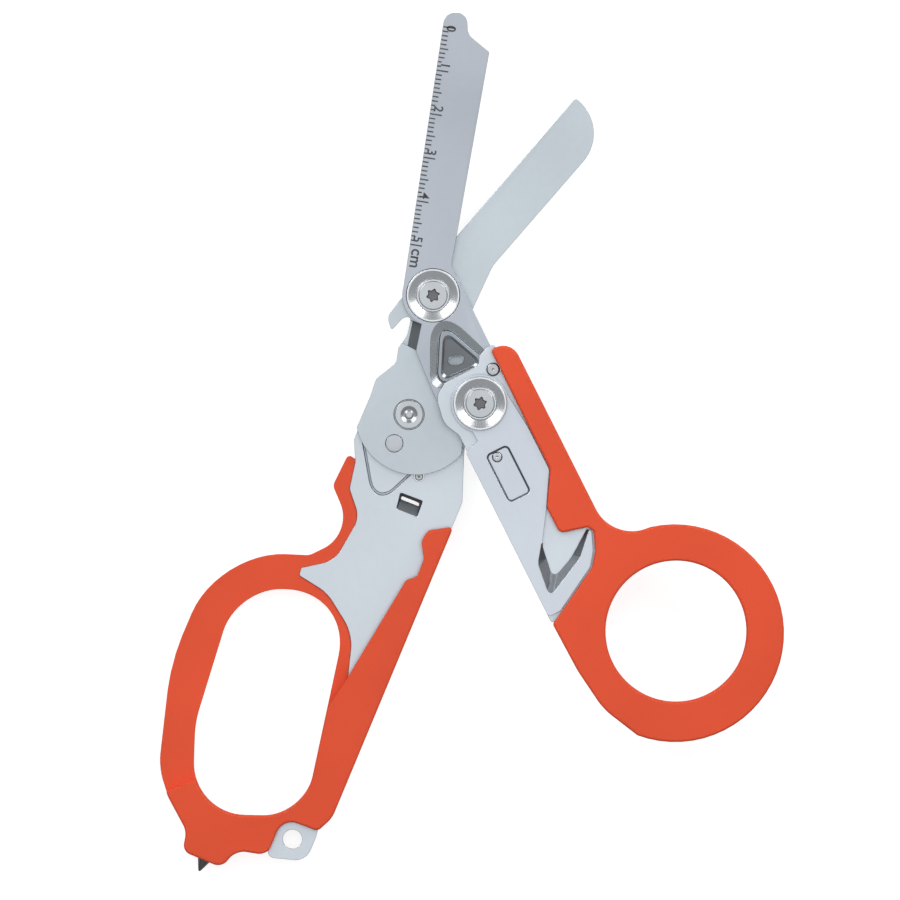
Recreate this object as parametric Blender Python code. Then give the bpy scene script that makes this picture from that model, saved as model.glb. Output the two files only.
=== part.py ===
"""Folding rescue shears: two blades on tangs, two folding handles, a strap cutter and their locks.

The tool lies flat with its front face up, half open.  It is a stack of flat layers, from the table up:
left frame, rear blade, ruler blade, right frame, strap cutter.  Sizes are in millimetres.  Each outline
is a list of corners (along, across, round) in the axes of its own piece, worked out in `Axes`.
"""

import math

import bmesh
import bpy
from mathutils import Matrix, Vector

MM = 0.001

# Clearances
GAP = 0.3
FIT = 0.2

# Layer thicknesses
STANDOFF = 1.7
FRAME_T = 2.0
BLADE_T = 2.5
CUTTER_T = 1.5
LEFT_ARM_SINK = 0.3
RIGHT_GRIP_RISE = 1.5

# Distances between the three pivots, and how the half open tool lies
RULER_TANG = 26.8
REAR_TANG = 27.6
RULER_LEAN = 9.0
REAR_LEAN = 41.0
RULER_TANG_LEAN = 156.5
REAR_TANG_LEAN = 191.4
LEFT_HANDLE_LEAN = 202.7
RIGHT_HANDLE_LEAN = 153.3

# Blades
RULER_BLADE_L = 64.6
RULER_SPINE = -7.4
RULER_EDGE = 3.9
REAR_BLADE_L = 55.2
REAR_SPINE = 5.8
REAR_EDGE = -5.0
HEEL_WALL = 0.7
TANG_R = 8.3
DISC_R = 13.8

# Pivot hardware
WASHER_R = 6.0
WASHER_T = 1.4
WASHER_RIM = 0.4
WASHER_FLOOR = 0.4
HEEL_R = WASHER_R + GAP + HEEL_WALL
HEAD_R = 3.2
HEAD_T = 0.6
SHANK_R = 1.4
SLEEVE_R = 2.4
FLANGE_T = 0.9
DRIVE_R = 1.5
DRIVE_DEPTH = 0.35

# Left handle
LOOP_TOP = 42.1
LOOP_L = 60.8
LEFT_TAIL = 8.6
LEFT_BACK = 19.2
LEFT_ARM_OUT = 28.1
LOOP_WALL = 7.4
LUG_HOLE_R = 2.2
LUG_R = 4.8
BREAKER_R = 1.5
BREAKER_WALL = 0.8
BREAKER_BODY = 5.0
BREAKER_POINT = 2.7

# Right handle
RING_R = 16.0
RING_WALL = 8.7
RING_ACROSS = 16.5
RIGHT_ARM_OUT = 12.7
CUTTER_L = 50.2
RING_ALONG = CUTTER_L + 15.9
CUTTER_EDGE = -7.9
CUTTER_BASE_R = WASHER_R + 0.6
STOP_PIN_R = 1.4
DETENT_R = 1.1
NAIL_DEPTH = 0.5

# Locks
BUTTON_T = 1.3
BUTTON_FLANGE = 0.8
BUTTON_FLANGE_T = 0.3
BUTTON_DISH = 0.4
BUTTON_RIM = 1.1
COVER_T = 0.3
RECESS_DEPTH = 0.6
LEVER_T = 1.5
LEAF_T = 0.2
SMALL_PIN_R = 1.0
RIVET_R = 2.0

ROUND_STEP = 15.0
LARGE_RADIUS = 10.0
CIRCLE_SIDES = 32


def layer_above(below, thickness):
    """The (bottom, top) of a layer that lies a gap above another."""
    return below[1] + GAP, below[1] + GAP + thickness


Z_LEFT = (STANDOFF, STANDOFF + FRAME_T)
Z_REAR = layer_above(Z_LEFT, BLADE_T)
Z_RULER = layer_above(Z_REAR, BLADE_T)
Z_RIGHT = layer_above(Z_RULER, FRAME_T)
Z_CUTTER = layer_above(Z_RIGHT, CUTTER_T)
Z_LEFT_ARM = Z_LEFT[1] - LEFT_ARM_SINK
Z_RIGHT_GRIP = Z_CUTTER[1] + RIGHT_GRIP_RISE


def step_for(radius):
    """The angle between neighbouring points on an arc, finer on a large one."""
    return ROUND_STEP if radius < LARGE_RADIUS else ROUND_STEP / 2.0


class Axes:
    """A flat set of axes: its origin, and the direction of `along` in degrees clockwise from +Y."""

    def __init__(self, origin, lean, right_handed=True):
        angle = math.radians(lean)
        side = 1.0 if right_handed else -1.0
        self.origin = Vector(origin)
        self.along = Vector((math.sin(angle), math.cos(angle)))
        self.across = Vector((math.cos(angle), -math.sin(angle))) * side

    def at(self, along, across=0.0):
        """The point (x, y) at a place in these axes."""
        return self.origin + self.along * along + self.across * across

    def corners(self, rows):
        """The rows (along, across, round) as corners (x, y, round)."""
        return [(*self.at(along, across), radius) for along, across, radius in rows]

    def arc(self, centre, radius, start, end):
        """Corners along an arc, its angles in degrees from `along` towards `across`."""
        count = max(2, math.ceil(abs(end - start) / step_for(radius)))
        rows = []
        for step in range(count + 1):
            angle = math.radians(start + (end - start) * step / count)
            rows.append((centre[0] + radius * math.cos(angle), centre[1] + radius * math.sin(angle), 0.0))
        return self.corners(rows)


MAIN = Vector((0.0, 0.0))
RULER = Axes(MAIN, RULER_LEAN)
REAR = Axes(MAIN, REAR_LEAN)
RULER_T = Axes(MAIN, RULER_TANG_LEAN, right_handed=False)
REAR_T = Axes(MAIN, REAR_TANG_LEAN, right_handed=False)
RIGHT_PIVOT = RULER_T.at(RULER_TANG)
LEFT_PIVOT = REAR_T.at(REAR_TANG)
LEFT = Axes(LEFT_PIVOT, LEFT_HANDLE_LEAN, right_handed=False)
RIGHT = Axes(RIGHT_PIVOT, RIGHT_HANDLE_LEAN, right_handed=False)


# ---------------------------------------------------------------- outlines

def turn_of(corners):
    """+1 for an outline that runs anticlockwise, -1 for clockwise."""
    area = 0.0
    for index, here in enumerate(corners):
        ahead = corners[(index + 1) % len(corners)]
        area += here[0] * ahead[1] - here[1] * ahead[0]
    return 1.0 if area > 0.0 else -1.0


def neighbours(corners, index):
    """A corner with the ones before and after it, as vectors."""
    before = Vector(corners[index - 1][:2])
    here = Vector(corners[index][:2])
    after = Vector(corners[(index + 1) % len(corners)][:2])
    return before, here, after


def grown(corners, distance):
    """The outline moved outwards by a distance, its rounds kept concentric."""
    turn = turn_of(corners)
    result = []
    for index, corner in enumerate(corners):
        before, here, after = neighbours(corners, index)
        into = (here - before).normalized()
        out = (after - here).normalized()
        bend = into.x * out.y - into.y * out.x
        normal_in = Vector((into.y, -into.x)) * turn
        normal_out = Vector((out.y, -out.x)) * turn
        move = (normal_in + normal_out) * (distance / (1.0 + normal_in.dot(normal_out)))
        radius = corner[2]
        if radius > 0.0:
            radius = max(0.05, radius + distance * (1.0 if bend * turn > 0.0 else -1.0))
        result.append((here.x + move.x, here.y + move.y, radius))
    return result


def opening_at(corners, index):
    """The angle between the two sides that meet at a corner."""
    before, here, after = neighbours(corners, index)
    return (before - here).angle(after - here)


def reaches_of(corners):
    """How far each corner's round runs along its sides, where two rounds share a side at most all of it."""
    reaches = []
    for index, corner in enumerate(corners):
        opening = opening_at(corners, index)
        straight = corner[2] <= 0.0 or opening > math.radians(179.0)
        reaches.append(0.0 if straight else corner[2] / math.tan(opening / 2.0))
    limited = list(reaches)
    for index, reach in enumerate(reaches):
        for other in (index - 1, (index + 1) % len(corners)):
            side = (Vector(corners[index][:2]) - Vector(corners[other][:2])).length
            both = reach + reaches[other]
            if both > 0.98 * side:
                limited[index] = min(limited[index], reach * 0.98 * side / both)
    return limited


def rounded(corners):
    """The points of an outline, with each corner rounded by its radius."""
    points = []
    for index, reach in enumerate(reaches_of(corners)):
        before, here, after = neighbours(corners, index)
        if reach <= 0.0:
            points.append(here)
            continue
        back = (before - here).normalized()
        ahead = (after - here).normalized()
        opening = opening_at(corners, index)
        radius = reach * math.tan(opening / 2.0)
        centre = here + (back + ahead).normalized() * (radius / math.sin(opening / 2.0))
        first = here + back * reach - centre
        sweep = -math.copysign(math.pi - opening, back.x * ahead.y - back.y * ahead.x)
        count = max(1, math.ceil(math.degrees(abs(sweep)) / step_for(radius)))
        for step in range(count + 1):
            points.append(centre + Matrix.Rotation(sweep * step / count, 2) @ first)
    return points


def circle(centre, radius, sides=CIRCLE_SIDES):
    """The corners of a circle."""
    step = 2.0 * math.pi / sides
    return [(centre[0] + radius * math.cos(step * i), centre[1] + radius * math.sin(step * i), 0.0)
            for i in range(sides)]


# ---------------------------------------------------------------- solids

def new_object(name, mesh_data):
    """A mesh object in the scene, from a bmesh whose faces are turned outwards."""
    bmesh.ops.recalc_face_normals(mesh_data, faces=mesh_data.faces)
    mesh = bpy.data.meshes.new(name)
    mesh_data.to_mesh(mesh)
    mesh_data.free()
    item = bpy.data.objects.new(name, mesh)
    bpy.context.scene.collection.objects.link(item)
    return item


def loft(name, low, z_low, high, z_high):
    """A closed solid between two outlines that have the same number of points."""
    mesh_data = bmesh.new()
    rings = []
    for outline, height in ((low, z_low), (high, z_high)):
        rings.append([mesh_data.verts.new((point[0] * MM, point[1] * MM, height * MM)) for point in outline])
    for ring in rings:
        mesh_data.faces.new(ring)
    for index in range(len(low)):
        ahead = (index + 1) % len(low)
        mesh_data.faces.new((rings[0][index], rings[0][ahead], rings[1][ahead], rings[1][index]))
    return new_object(name, mesh_data)


def plate(name, corners, z_range):
    """A flat plate of one outline."""
    outline = rounded(corners)
    return loft(name, outline, z_range[0], outline, z_range[1])


def disc(name, centre, radius, z_range, sides=CIRCLE_SIDES):
    """A round plate."""
    return plate(name, circle(centre, radius, sides), z_range)


def turned(name, profile, centre, height, flip=False):
    """A profile of (radius, height) turned about a vertical axis; flipped, it faces down."""
    mesh_data = bmesh.new()
    side = -1.0 if flip else 1.0
    ring = [mesh_data.verts.new((radius * MM, 0.0, side * rise * MM)) for radius, rise in profile]
    edges = [mesh_data.edges.new((ring[i], ring[(i + 1) % len(ring)])) for i in range(len(ring))]
    bmesh.ops.spin(mesh_data, geom=ring + edges, axis=(0.0, 0.0, 1.0), cent=(0.0, 0.0, 0.0),
                   angle=2.0 * math.pi, steps=CIRCLE_SIDES, use_merge=True)
    bmesh.ops.remove_doubles(mesh_data, verts=mesh_data.verts, dist=1e-7)
    bmesh.ops.translate(mesh_data, verts=mesh_data.verts,
                        vec=(centre[0] * MM, centre[1] * MM, height * MM))
    return new_object(name, mesh_data)


def rod(name, start, end, height, radius, end_radius=None, sides=16):
    """A round bar lying level between two points, or a cone where its end radius differs."""
    axis = Vector((end[0] - start[0], end[1] - start[1], 0.0))
    middle = Vector(((start[0] + end[0]) / 2.0, (start[1] + end[1]) / 2.0, height))
    mesh_data = bmesh.new()
    tip = radius if end_radius is None else end_radius
    bmesh.ops.create_cone(mesh_data, cap_ends=True, segments=sides, radius1=radius * MM,
                          radius2=tip * MM, depth=axis.length * MM)
    turn = Vector((0.0, 0.0, 1.0)).rotation_difference(axis.normalized()).to_matrix().to_4x4()
    bmesh.ops.transform(mesh_data, verts=mesh_data.verts, matrix=Matrix.Translation(middle * MM) @ turn)
    return new_object(name, mesh_data)


def combine(body, tool, operation):
    """Apply an exact boolean to a body and remove the tool."""
    modifier = body.modifiers.new(operation.title(), "BOOLEAN")
    modifier.operation = operation
    modifier.solver = "EXACT"
    modifier.object = tool
    depsgraph = bpy.context.evaluated_depsgraph_get()
    mesh = bpy.data.meshes.new_from_object(body.evaluated_get(depsgraph))
    mesh.name = body.name
    body.modifiers.clear()
    body.data = mesh
    bpy.data.objects.remove(tool)


def cut(body, *tools):
    """Cut tools out of a body."""
    for tool in tools:
        combine(body, tool, "DIFFERENCE")


def weld(body, *tools):
    """Join tools to a body."""
    for tool in tools:
        combine(body, tool, "UNION")


def through(z_range):
    """A height range that passes through a plate's both faces."""
    return z_range[0] - 1.0, z_range[1] + 1.0


def hole(centre, radius, z_range):
    """A cutter for a round hole through a plate."""
    return disc("hole", centre, radius, through(z_range))


# ---------------------------------------------------------------- materials and bodies

def material(name, colour, roughness, metallic):
    """A plain material."""
    result = bpy.data.materials.new(name)
    result.use_nodes = True
    shader = result.node_tree.nodes["Principled BSDF"]
    shader.inputs["Base Color"].default_value = (*colour, 1.0)
    shader.inputs["Roughness"].default_value = roughness
    shader.inputs["Metallic"].default_value = metallic
    return result


FINISHES = {
    "steel": ((0.62, 0.66, 0.70), 0.38, 1.0),
    "polished": ((0.80, 0.81, 0.82), 0.15, 1.0),
    "grip": ((0.75, 0.08, 0.025), 0.55, 0.0),
    "carbide": ((0.12, 0.12, 0.13), 0.35, 1.0),
}


def finish(item, kind, pivot):
    """Give a piece its own material and hang it on the empty at its joint's axis."""
    item.data.materials.clear()
    item.data.materials.append(material(f"{item.name}_{kind}", *FINISHES[kind]))
    for face in item.data.polygons:
        face.use_smooth = False
    item.data.transform(Matrix.Translation(-pivot.location))
    item.parent = pivot
    return item


def pivot_empty(name, point, height):
    """An empty on a joint's axis, which carries the pieces that turn on it."""
    empty = bpy.data.objects.new(name, None)
    empty.location = (point[0] * MM, point[1] * MM, height * MM)
    bpy.context.scene.collection.objects.link(empty)
    return empty


# ---------------------------------------------------------------- blades

def ruler_blade_outline():
    """The front blade with its tang: spine, stepped tip, cutting edge and the round end at its handle."""
    tip = RULER_BLADE_L
    blade = RULER.corners([
        (tip - 0.8, RULER_SPINE, 2.5), (tip, RULER_SPINE + 5.0, 2.3), (tip - 4.8, RULER_SPINE + 6.0, 2.7),
        (tip - 8.0, RULER_EDGE + 0.1, 0.5), (15.0, RULER_EDGE - 0.7, 6.0), (7.4, RULER_EDGE - 0.9, 2.5),
    ])
    tang = RULER_T.corners([
        (RULER_TANG + TANG_R, TANG_R, TANG_R), (RULER_TANG + TANG_R, -TANG_R, TANG_R),
        (RULER_TANG - 6.0, -TANG_R - 0.5, 2.0), (10.1, -TANG_R - 0.3, 0.9),
    ])
    heel = RULER_T.arc((0.0, 0.0), HEEL_R, -45.0, -130.0)
    return blade + tang + heel


def button_outline():
    """The rounded triangle of the lock button."""
    return RULER_T.corners([(6.3, -0.9, 2.0), (19.5, 5.6, 2.0), (19.5, -7.5, 2.3)])


def recess_outline():
    """The rounded triangle where the sloping recess round the button meets the blade's face."""
    return RULER_T.corners([(1.8, 0.2, 4.0), (18.6, 7.0, 2.3), (20.8, -9.0, 2.6)])


def build_ruler_blade():
    """The ruler blade with its washer seat, button well and screw holes."""
    blade = plate("ruler_blade", ruler_blade_outline(), Z_RULER)
    seat = (Z_RULER[1] - WASHER_T - FIT, Z_RULER[1] + 1.0)
    cut(blade, disc("seat", MAIN, WASHER_R + GAP, seat), hole(MAIN, SLEEVE_R + GAP, Z_RULER),
        hole(RIGHT_PIVOT, SLEEVE_R + GAP, Z_RULER),
        disc("nut_seat", RIGHT_PIVOT, HEAD_R + GAP, (Z_RULER[0] - 1.0, Z_RULER[0] + FLANGE_T + FIT)))
    well = grown(button_outline(), BUTTON_FLANGE + GAP)
    window = rounded(grown(button_outline(), GAP))
    lip = Z_RULER[1] - RECESS_DEPTH
    cut(blade, plate("well", well, (Z_RULER[0] - 1.0, lip - FIT)),
        loft("window", window, Z_RULER[0], window, Z_RULER[1] + 1.0),
        loft("recess", window, lip, rounded(recess_outline()), Z_RULER[1] + 0.01))
    return blade


def rear_blade_outline():
    """The rear blade with its spine, round tip, cutting edge, ring cutter hook and pivot disc."""
    tip = REAR_BLADE_L
    blade = REAR.corners([(tip, REAR_EDGE, 0.8), (tip, REAR_SPINE, 9.8), (14.0, REAR_SPINE, 8.0)])
    neck = REAR_T.corners([(2.0, 9.3, 5.0), (14.0, 8.3, 6.0), (REAR_TANG, 12.8, 3.0)])
    disc_rim = REAR_T.arc((REAR_TANG - 0.4, 1.5), DISC_R, 60.0, -66.0)
    shoulder = REAR_T.corners([
        (REAR_TANG - 2.3, -9.5, 4.0), (REAR_TANG - 6.5, -9.0, 1.5), (16.6, -5.2, 1.8), (13.2, -5.4, 1.0),
        (10.0, -4.0, 1.5),
    ])
    hook = REAR_T.corners([(5.0, -3.8, 1.0), (6.6, -5.9, 1.5), (9.7, -7.7, 0.4), (6.8, -9.3, 2.2)])
    heel = REAR_T.arc((0.0, 0.0), HEEL_R - 0.2, -78.0, -166.0)
    return blade + neck + disc_rim + shoulder + hook + heel


def rivet_place():
    """The stop rivet in the rear blade's disc."""
    return REAR_T.at(REAR_TANG + 7.1, -2.0)


def build_rear_blade():
    """The rear blade with its screw holes, nut seats and rivet hole."""
    blade = plate("rear_blade", rear_blade_outline(), Z_REAR)
    cut(blade, hole(MAIN, SLEEVE_R + GAP, Z_REAR), hole(LEFT_PIVOT, SLEEVE_R + GAP, Z_REAR),
        disc("nut_seat", MAIN, HEAD_R + GAP, (Z_REAR[0] - 1.0, Z_REAR[0] + FLANGE_T + FIT)),
        disc("nut_seat", LEFT_PIVOT, HEAD_R + GAP, (Z_REAR[1] - FLANGE_T - FIT, Z_REAR[1] + 1.0)),
        hole(rivet_place(), RIVET_R + FIT, Z_REAR))
    return blade


def build_rear_rivet():
    """The flush stop rivet of the rear blade."""
    return disc("rear_blade_stop_rivet", rivet_place(), RIVET_R, Z_REAR)


# ---------------------------------------------------------------- pivots

def build_washer(name, centre, base, flip=False):
    """A dished washer: a thin high rim that falls in a slope to the seat of the screw head."""
    bore = SHANK_R + SLEEVE_R * 0.5
    profile = [
        (bore, 0.0), (WASHER_R, 0.0), (WASHER_R, WASHER_T),
        (WASHER_R - WASHER_RIM, WASHER_T), (HEAD_R + GAP, WASHER_FLOOR), (bore, WASHER_FLOOR),
    ]
    return turned(name, profile, centre, base, flip)


def build_screw(name, centre, base, length, flip=False):
    """A screw whose head sits in a dished washer, with a star drive; `length` runs below the head."""
    side = -1.0 if flip else 1.0
    head = base + side * (WASHER_FLOOR + FIT)
    heights = sorted((head, head + side * HEAD_T))
    screw = disc(name, centre, HEAD_R, heights)
    shank = sorted((head + side * 0.1, head - side * length))
    weld(screw, disc("shank", centre, SHANK_R, shank, 24))
    drive = sorted((head + side * (HEAD_T - DRIVE_DEPTH), head + side * (HEAD_T + 1.0)))
    cut(screw, plate("drive", star(centre), drive))
    return screw


def star(centre):
    """A six-lobed star for a screwdriver bit."""
    step = math.pi / 6.0
    corners = []
    for index in range(12):
        radius = DRIVE_R if index % 2 == 0 else DRIVE_R * 0.72
        corners.append((centre[0] + radius * math.cos(step * index),
                        centre[1] + radius * math.sin(step * index), 0.25))
    return corners


def build_nut(name, centre, flange_face, sleeve_end):
    """A barrel nut: a flange flush in its seat, and a sleeve that the screw enters from its far end."""
    side = 1.0 if sleeve_end > flange_face else -1.0
    flange = sorted((flange_face, flange_face + side * FLANGE_T))
    nut = disc(name, centre, HEAD_R, flange)
    weld(nut, disc("sleeve", centre, SLEEVE_R, sorted((flange_face + side * 0.1, sleeve_end))))
    bore = sorted((flange_face + side * FLANGE_T * 0.6, sleeve_end + side * 1.0))
    cut(nut, disc("bore", centre, SHANK_R + FIT, bore, 24))
    return nut


# ---------------------------------------------------------------- ruler blade's lock

def build_lock_button():
    """The button: a dished top, and a flange that the blade's lip holds in."""
    bottom = Z_RULER[1] - 0.1 - BUTTON_T
    button = plate("right_lock_button", button_outline(), (bottom, Z_RULER[1] - 0.1))
    weld(button, plate("flange", grown(button_outline(), BUTTON_FLANGE), (bottom, bottom + BUTTON_FLANGE_T)))
    floor = rounded(grown(button_outline(), -BUTTON_RIM - BUTTON_DISH))
    top = rounded(grown(button_outline(), -BUTTON_RIM))
    cut(button, loft("dish", floor, Z_RULER[1] - 0.1 - BUTTON_DISH, top, Z_RULER[1] - 0.1 + 0.01))
    return button


def button_centre():
    """The middle of the lock button."""
    return RULER_T.at(15.1, -1.0)


def build_lock_cover():
    """The thin plate that closes the back of the button's well."""
    outline = grown(button_outline(), BUTTON_FLANGE + GAP - FIT)
    return plate("right_lock_cover", outline, (Z_RULER[0], Z_RULER[0] + COVER_T))


def build_leaf(name, axes, start, end, half_width, z_foot, z_crown):
    """A leaf spring: a thin strip that bows up from its two feet to its crown."""
    mesh_data = bmesh.new()
    steps = 10
    rows = []
    for index in range(steps + 1):
        share = index / steps
        rise = z_foot + (z_crown - z_foot - LEAF_T) * math.sin(math.pi * share) ** 2
        row = []
        for side, lift in ((-1.0, 0.0), (1.0, 0.0), (1.0, LEAF_T), (-1.0, LEAF_T)):
            point = axes.at(start[0] + (end[0] - start[0]) * share,
                            start[1] + (end[1] - start[1]) * share + side * half_width)
            row.append(mesh_data.verts.new((point.x * MM, point.y * MM, (rise + lift) * MM)))
        rows.append(row)
    mesh_data.faces.new(rows[0])
    mesh_data.faces.new(rows[-1])
    for first, second in zip(rows, rows[1:]):
        for index in range(4):
            ahead = (index + 1) % 4
            mesh_data.faces.new((first[index], first[ahead], second[ahead], second[index]))
    return new_object(name, mesh_data)


# ---------------------------------------------------------------- left handle

def left_frame_outline():
    """The left handle's steel plate: pivot end, web, core strip inside the grip and lanyard lug."""
    tail = LOOP_TOP + LOOP_L
    lug = LEFT_LUG
    back = LEFT_BACK - 2.4
    return LEFT.corners([
        (-9.5, -9.5, 8.0), (-9.5, 11.0, 8.0), (4.0, 15.2, 4.0), (13.8, LEFT_BACK - 0.3, 2.0),
        (19.2, LEFT_BACK - 0.3, 0.6), (20.4, back, 1.0), (tail - 11.0, back, 2.0),
        (lug[0] - 2.5, lug[1] + LUG_R, 1.0), (lug[0] + 3.4, lug[1] + LUG_R, 3.6),
        (lug[0] + LUG_R + 1.2, lug[1] - 3.6, 1.6), (lug[0] + 2.0, lug[1] - 5.2, 1.0),
        (lug[0] - 4.0, lug[1] - 0.6, 2.0), (tail - 11.0, back - 3.8, 2.0), (LOOP_TOP + 24.0, 12.4, 1.0),
        (LOOP_TOP + 17.0, 9.8, 0.5), (LOOP_TOP + 8.9, 7.4, 10.0), (LOOP_TOP + 2.5, -1.6, 9.0),
        (LOOP_TOP + 1.3, -9.0, 0.6), (LOOP_TOP - 0.5, -9.1, 0.6), (LOOP_TOP - 4.9, -2.8, 6.0),
        (26.0, -1.4, 5.0), (20.8, -6.0, 2.0), (14.7, -7.1, 1.5), (10.1, -9.4, 2.0),
    ])


LEFT_LUG = (LOOP_TOP + LOOP_L - 3.5, 12.8)


def lever_outline():
    """The rounded lock lever in the left frame."""
    return LEFT.corners([(7.7, -8.3, 0.9), (22.0, 0.9, 3.2), (8.1, 7.1, 0.9), (4.4, 2.1, 0.9)])


def frame_pin_place():
    """The small stop pin in the left frame."""
    return LEFT.at(12.1, 7.5)


def build_left_frame():
    """The left frame with its lever pocket, wrench slot, lanyard hole and pin holes."""
    frame = plate("left_handle_frame", left_frame_outline(), Z_LEFT)
    slot = LEFT.corners([(17.1, 5.0, 0.4), (16.9, 10.5, 0.4), (20.9, 10.7, 0.4), (21.0, 5.6, 0.4)])
    cut(frame, hole(LEFT_PIVOT, SLEEVE_R + GAP, Z_LEFT), hole(LEFT.at(*LEFT_LUG), LUG_HOLE_R, Z_LEFT),
        hole(frame_pin_place(), SMALL_PIN_R + FIT, Z_LEFT), plate("slot", slot, through(Z_LEFT)),
        plate("pocket", grown(lever_outline(), GAP), through(Z_LEFT)))
    return frame


def loop_outline():
    """The finger opening of the left handle."""
    end = LOOP_TOP + LOOP_L
    return LEFT.corners([
        (LOOP_TOP, 3.6, 12.5), (end - 9.3, 13.2, 11.4), (end, -10.5, 11.8), (end - 19.5, -17.9, 20.0),
        (LOOP_TOP + 9.4, LOOP_WALL - LEFT_ARM_OUT - 0.3, 13.6),
    ])


def left_grip_outline():
    """The outside of the left grip."""
    end = LOOP_TOP + LOOP_L
    tail = end + LEFT_TAIL
    out = -LEFT_ARM_OUT
    return LEFT.corners([
        (13.7, -9.3, 0.8), (21.6, -9.8, 2.0), (29.9, -1.2, 8.0), (38.3, -8.6, 3.0), (45.4, out, 22.0),
        (end - 30.0, out - 0.2, 40.0), (end - 6.9, out + 6.5, 6.0), (end - 1.6, out + 11.0, 1.0),
        (end + 4.0, -10.2, 3.0), (tail, -9.2, 1.5), (tail, 0.4, 1.5), (end + 3.7, 2.0, 2.0),
        (end + 2.2, 8.2, 1.5), (end + 0.6, 8.9, 1.5), (LEFT_LUG[0] - 3.7, 8.9, 3.6),
        (LEFT_LUG[0] - 4.0, 17.4, 1.0), (end - 11.5, LEFT_BACK + 0.1, 6.0), (19.6, LEFT_BACK, 0.6),
        (23.4, 13.0, 3.0), (25.0, -1.5, 2.0), (19.0, -5.0, 2.0), (14.2, -6.5, 0.5),
    ])


def low_arm_outline():
    """The part of the left grip that is sunk, so that the folded blades lie over it."""
    end = LOOP_TOP + LOOP_L
    return LEFT.corners([
        (5.0, LEFT_BACK + 4.0, 0.0), (18.5, LEFT_BACK + 4.0, 0.0), (20.1, LEFT_BACK - 1.2, 1.0),
        (22.0, 14.4, 2.0), (25.4, 13.6, 2.5), (29.0, 15.8, 2.0), (33.2, 15.9, 0.6), (35.1, 13.9, 0.8),
        (LOOP_TOP + 20.4, 9.9, 3.0), (LOOP_TOP + 32.0, 7.5, 0.0), (end - 12.0, -5.0, 0.0),
        (end - 6.9, -13.3, 0.0), (end - 1.4, -19.0, 0.0), (end - 1.4, -LEFT_ARM_OUT - 8.0, 0.0),
        (5.0, -LEFT_ARM_OUT - 8.0, 0.0),
    ])


def breaker_line():
    """Where the glass breaker's point, shoulder and inner end lie, and its height."""
    tail = LOOP_TOP + LOOP_L + LEFT_TAIL
    shoulder = tail + 0.1
    across = -4.0
    return (LEFT.at(shoulder + BREAKER_POINT, across), LEFT.at(shoulder, across),
            LEFT.at(shoulder - BREAKER_BODY, across), Z_REAR[1] / 2.0)


def build_left_grip():
    """The left grip, moulded round the frame and open where the blades fold into it."""
    grip = plate("left_handle_grip", left_grip_outline(), (0.0, Z_REAR[1]))
    point, _, inner, height = breaker_line()
    socket = BREAKER_R + FIT + BREAKER_WALL + FIT
    deeper = inner + (inner - point).normalized() * (BREAKER_WALL + FIT)
    cut(grip, plate("loop", loop_outline(), through((0.0, Z_REAR[1]))),
        plate("low_arm", low_arm_outline(), (Z_LEFT_ARM, Z_REAR[1] + 1.0)),
        plate("pocket", grown(left_frame_outline(), GAP), (Z_LEFT[0] - GAP, Z_LEFT[1] + GAP)),
        rod("socket", deeper, point, height, socket))
    return grip


def build_breaker_tip():
    """The carbide pin of the glass breaker, with its point."""
    point, shoulder, inner, height = breaker_line()
    tip = rod("glass_breaker_tip", inner, shoulder, height, BREAKER_R)
    overlap = shoulder + (inner - shoulder).normalized() * 0.05
    weld(tip, rod("point", overlap, point, height, BREAKER_R * 0.98, 0.15))
    return tip


def build_breaker_holder():
    """The steel cup that holds the carbide pin in the grip."""
    point, shoulder, inner, height = breaker_line()
    direction = (inner - shoulder).normalized()
    end = inner + direction * BREAKER_WALL
    cup_radius = BREAKER_R + FIT + BREAKER_WALL
    holder = rod("glass_breaker_holder", end, shoulder + direction * 0.4, height, cup_radius)
    cut(holder, rod("bore", inner + direction * FIT, point, height, BREAKER_R + FIT))
    return holder


def build_lock_lever():
    """The lock lever in its pocket, a little below the frame's face."""
    return plate("left_lock_lever", lever_outline(), (Z_LEFT[1] - LEVER_T, Z_LEFT[1]))


# ---------------------------------------------------------------- right handle

def right_frame_outline():
    """The right handle's steel plate."""
    return RIGHT.corners([
        (-10.7, 7.2, 0.7), (-9.8, 4.7, 0.7), (-7.9, 3.5, 0.9), (-7.8, -5.0, 1.8), (-5.7, -8.3, 3.2),
        (0.4, -9.4, 4.5), (4.3, CUTTER_EDGE + 0.4, 1.8), (CUTTER_L + 1.7, CUTTER_EDGE, 0.7),
        (CUTTER_L + 1.6, CUTTER_EDGE + 2.8, 0.9), (CUTTER_L - 6.2, 9.0, 3.0), (CUTTER_L - 14.2, 12.0, 3.0),
        (CUTTER_L - 20.2, RIGHT_ARM_OUT - 1.8, 3.0), (-7.0, RIGHT_ARM_OUT - 1.8, 3.0), (-10.6, 8.6, 1.0),
    ])


def cutter_outline():
    """The strap cutter: round base, straight edge, hook and the V of its cutting notch."""
    end = CUTTER_L
    base = RIGHT.arc((0.0, 0.0), CUTTER_BASE_R, 80.0, 318.0)
    hook = RIGHT.corners([
        (7.6, -4.3, 0.6), (8.3, CUTTER_EDGE, 1.0), (end, CUTTER_EDGE, 1.0), (end, CUTTER_EDGE + 3.0, 1.5),
        (end - 5.9, 5.7, 3.0), (end - 8.9, 7.9, 2.0), (end - 13.0, 9.6, 0.4), (end - 13.9, 8.8, 0.3),
        (end - 7.2, -3.5, 1.2), (end - 15.4, -1.6, 6.0), (end - 21.5, 2.3, 2.0),
    ])
    edge = RIGHT.corners([(20.4, 7.3, 2.0), (10.0, 7.3, 8.0)])
    return base + hook + edge


def stop_pin_place():
    """The pin that stops the strap cutter when it is swung out, just clear of its round base."""
    away = Vector((-0.676, 0.737)) * (CUTTER_BASE_R + GAP + STOP_PIN_R)
    return RIGHT.at(away.x, away.y)


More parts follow.
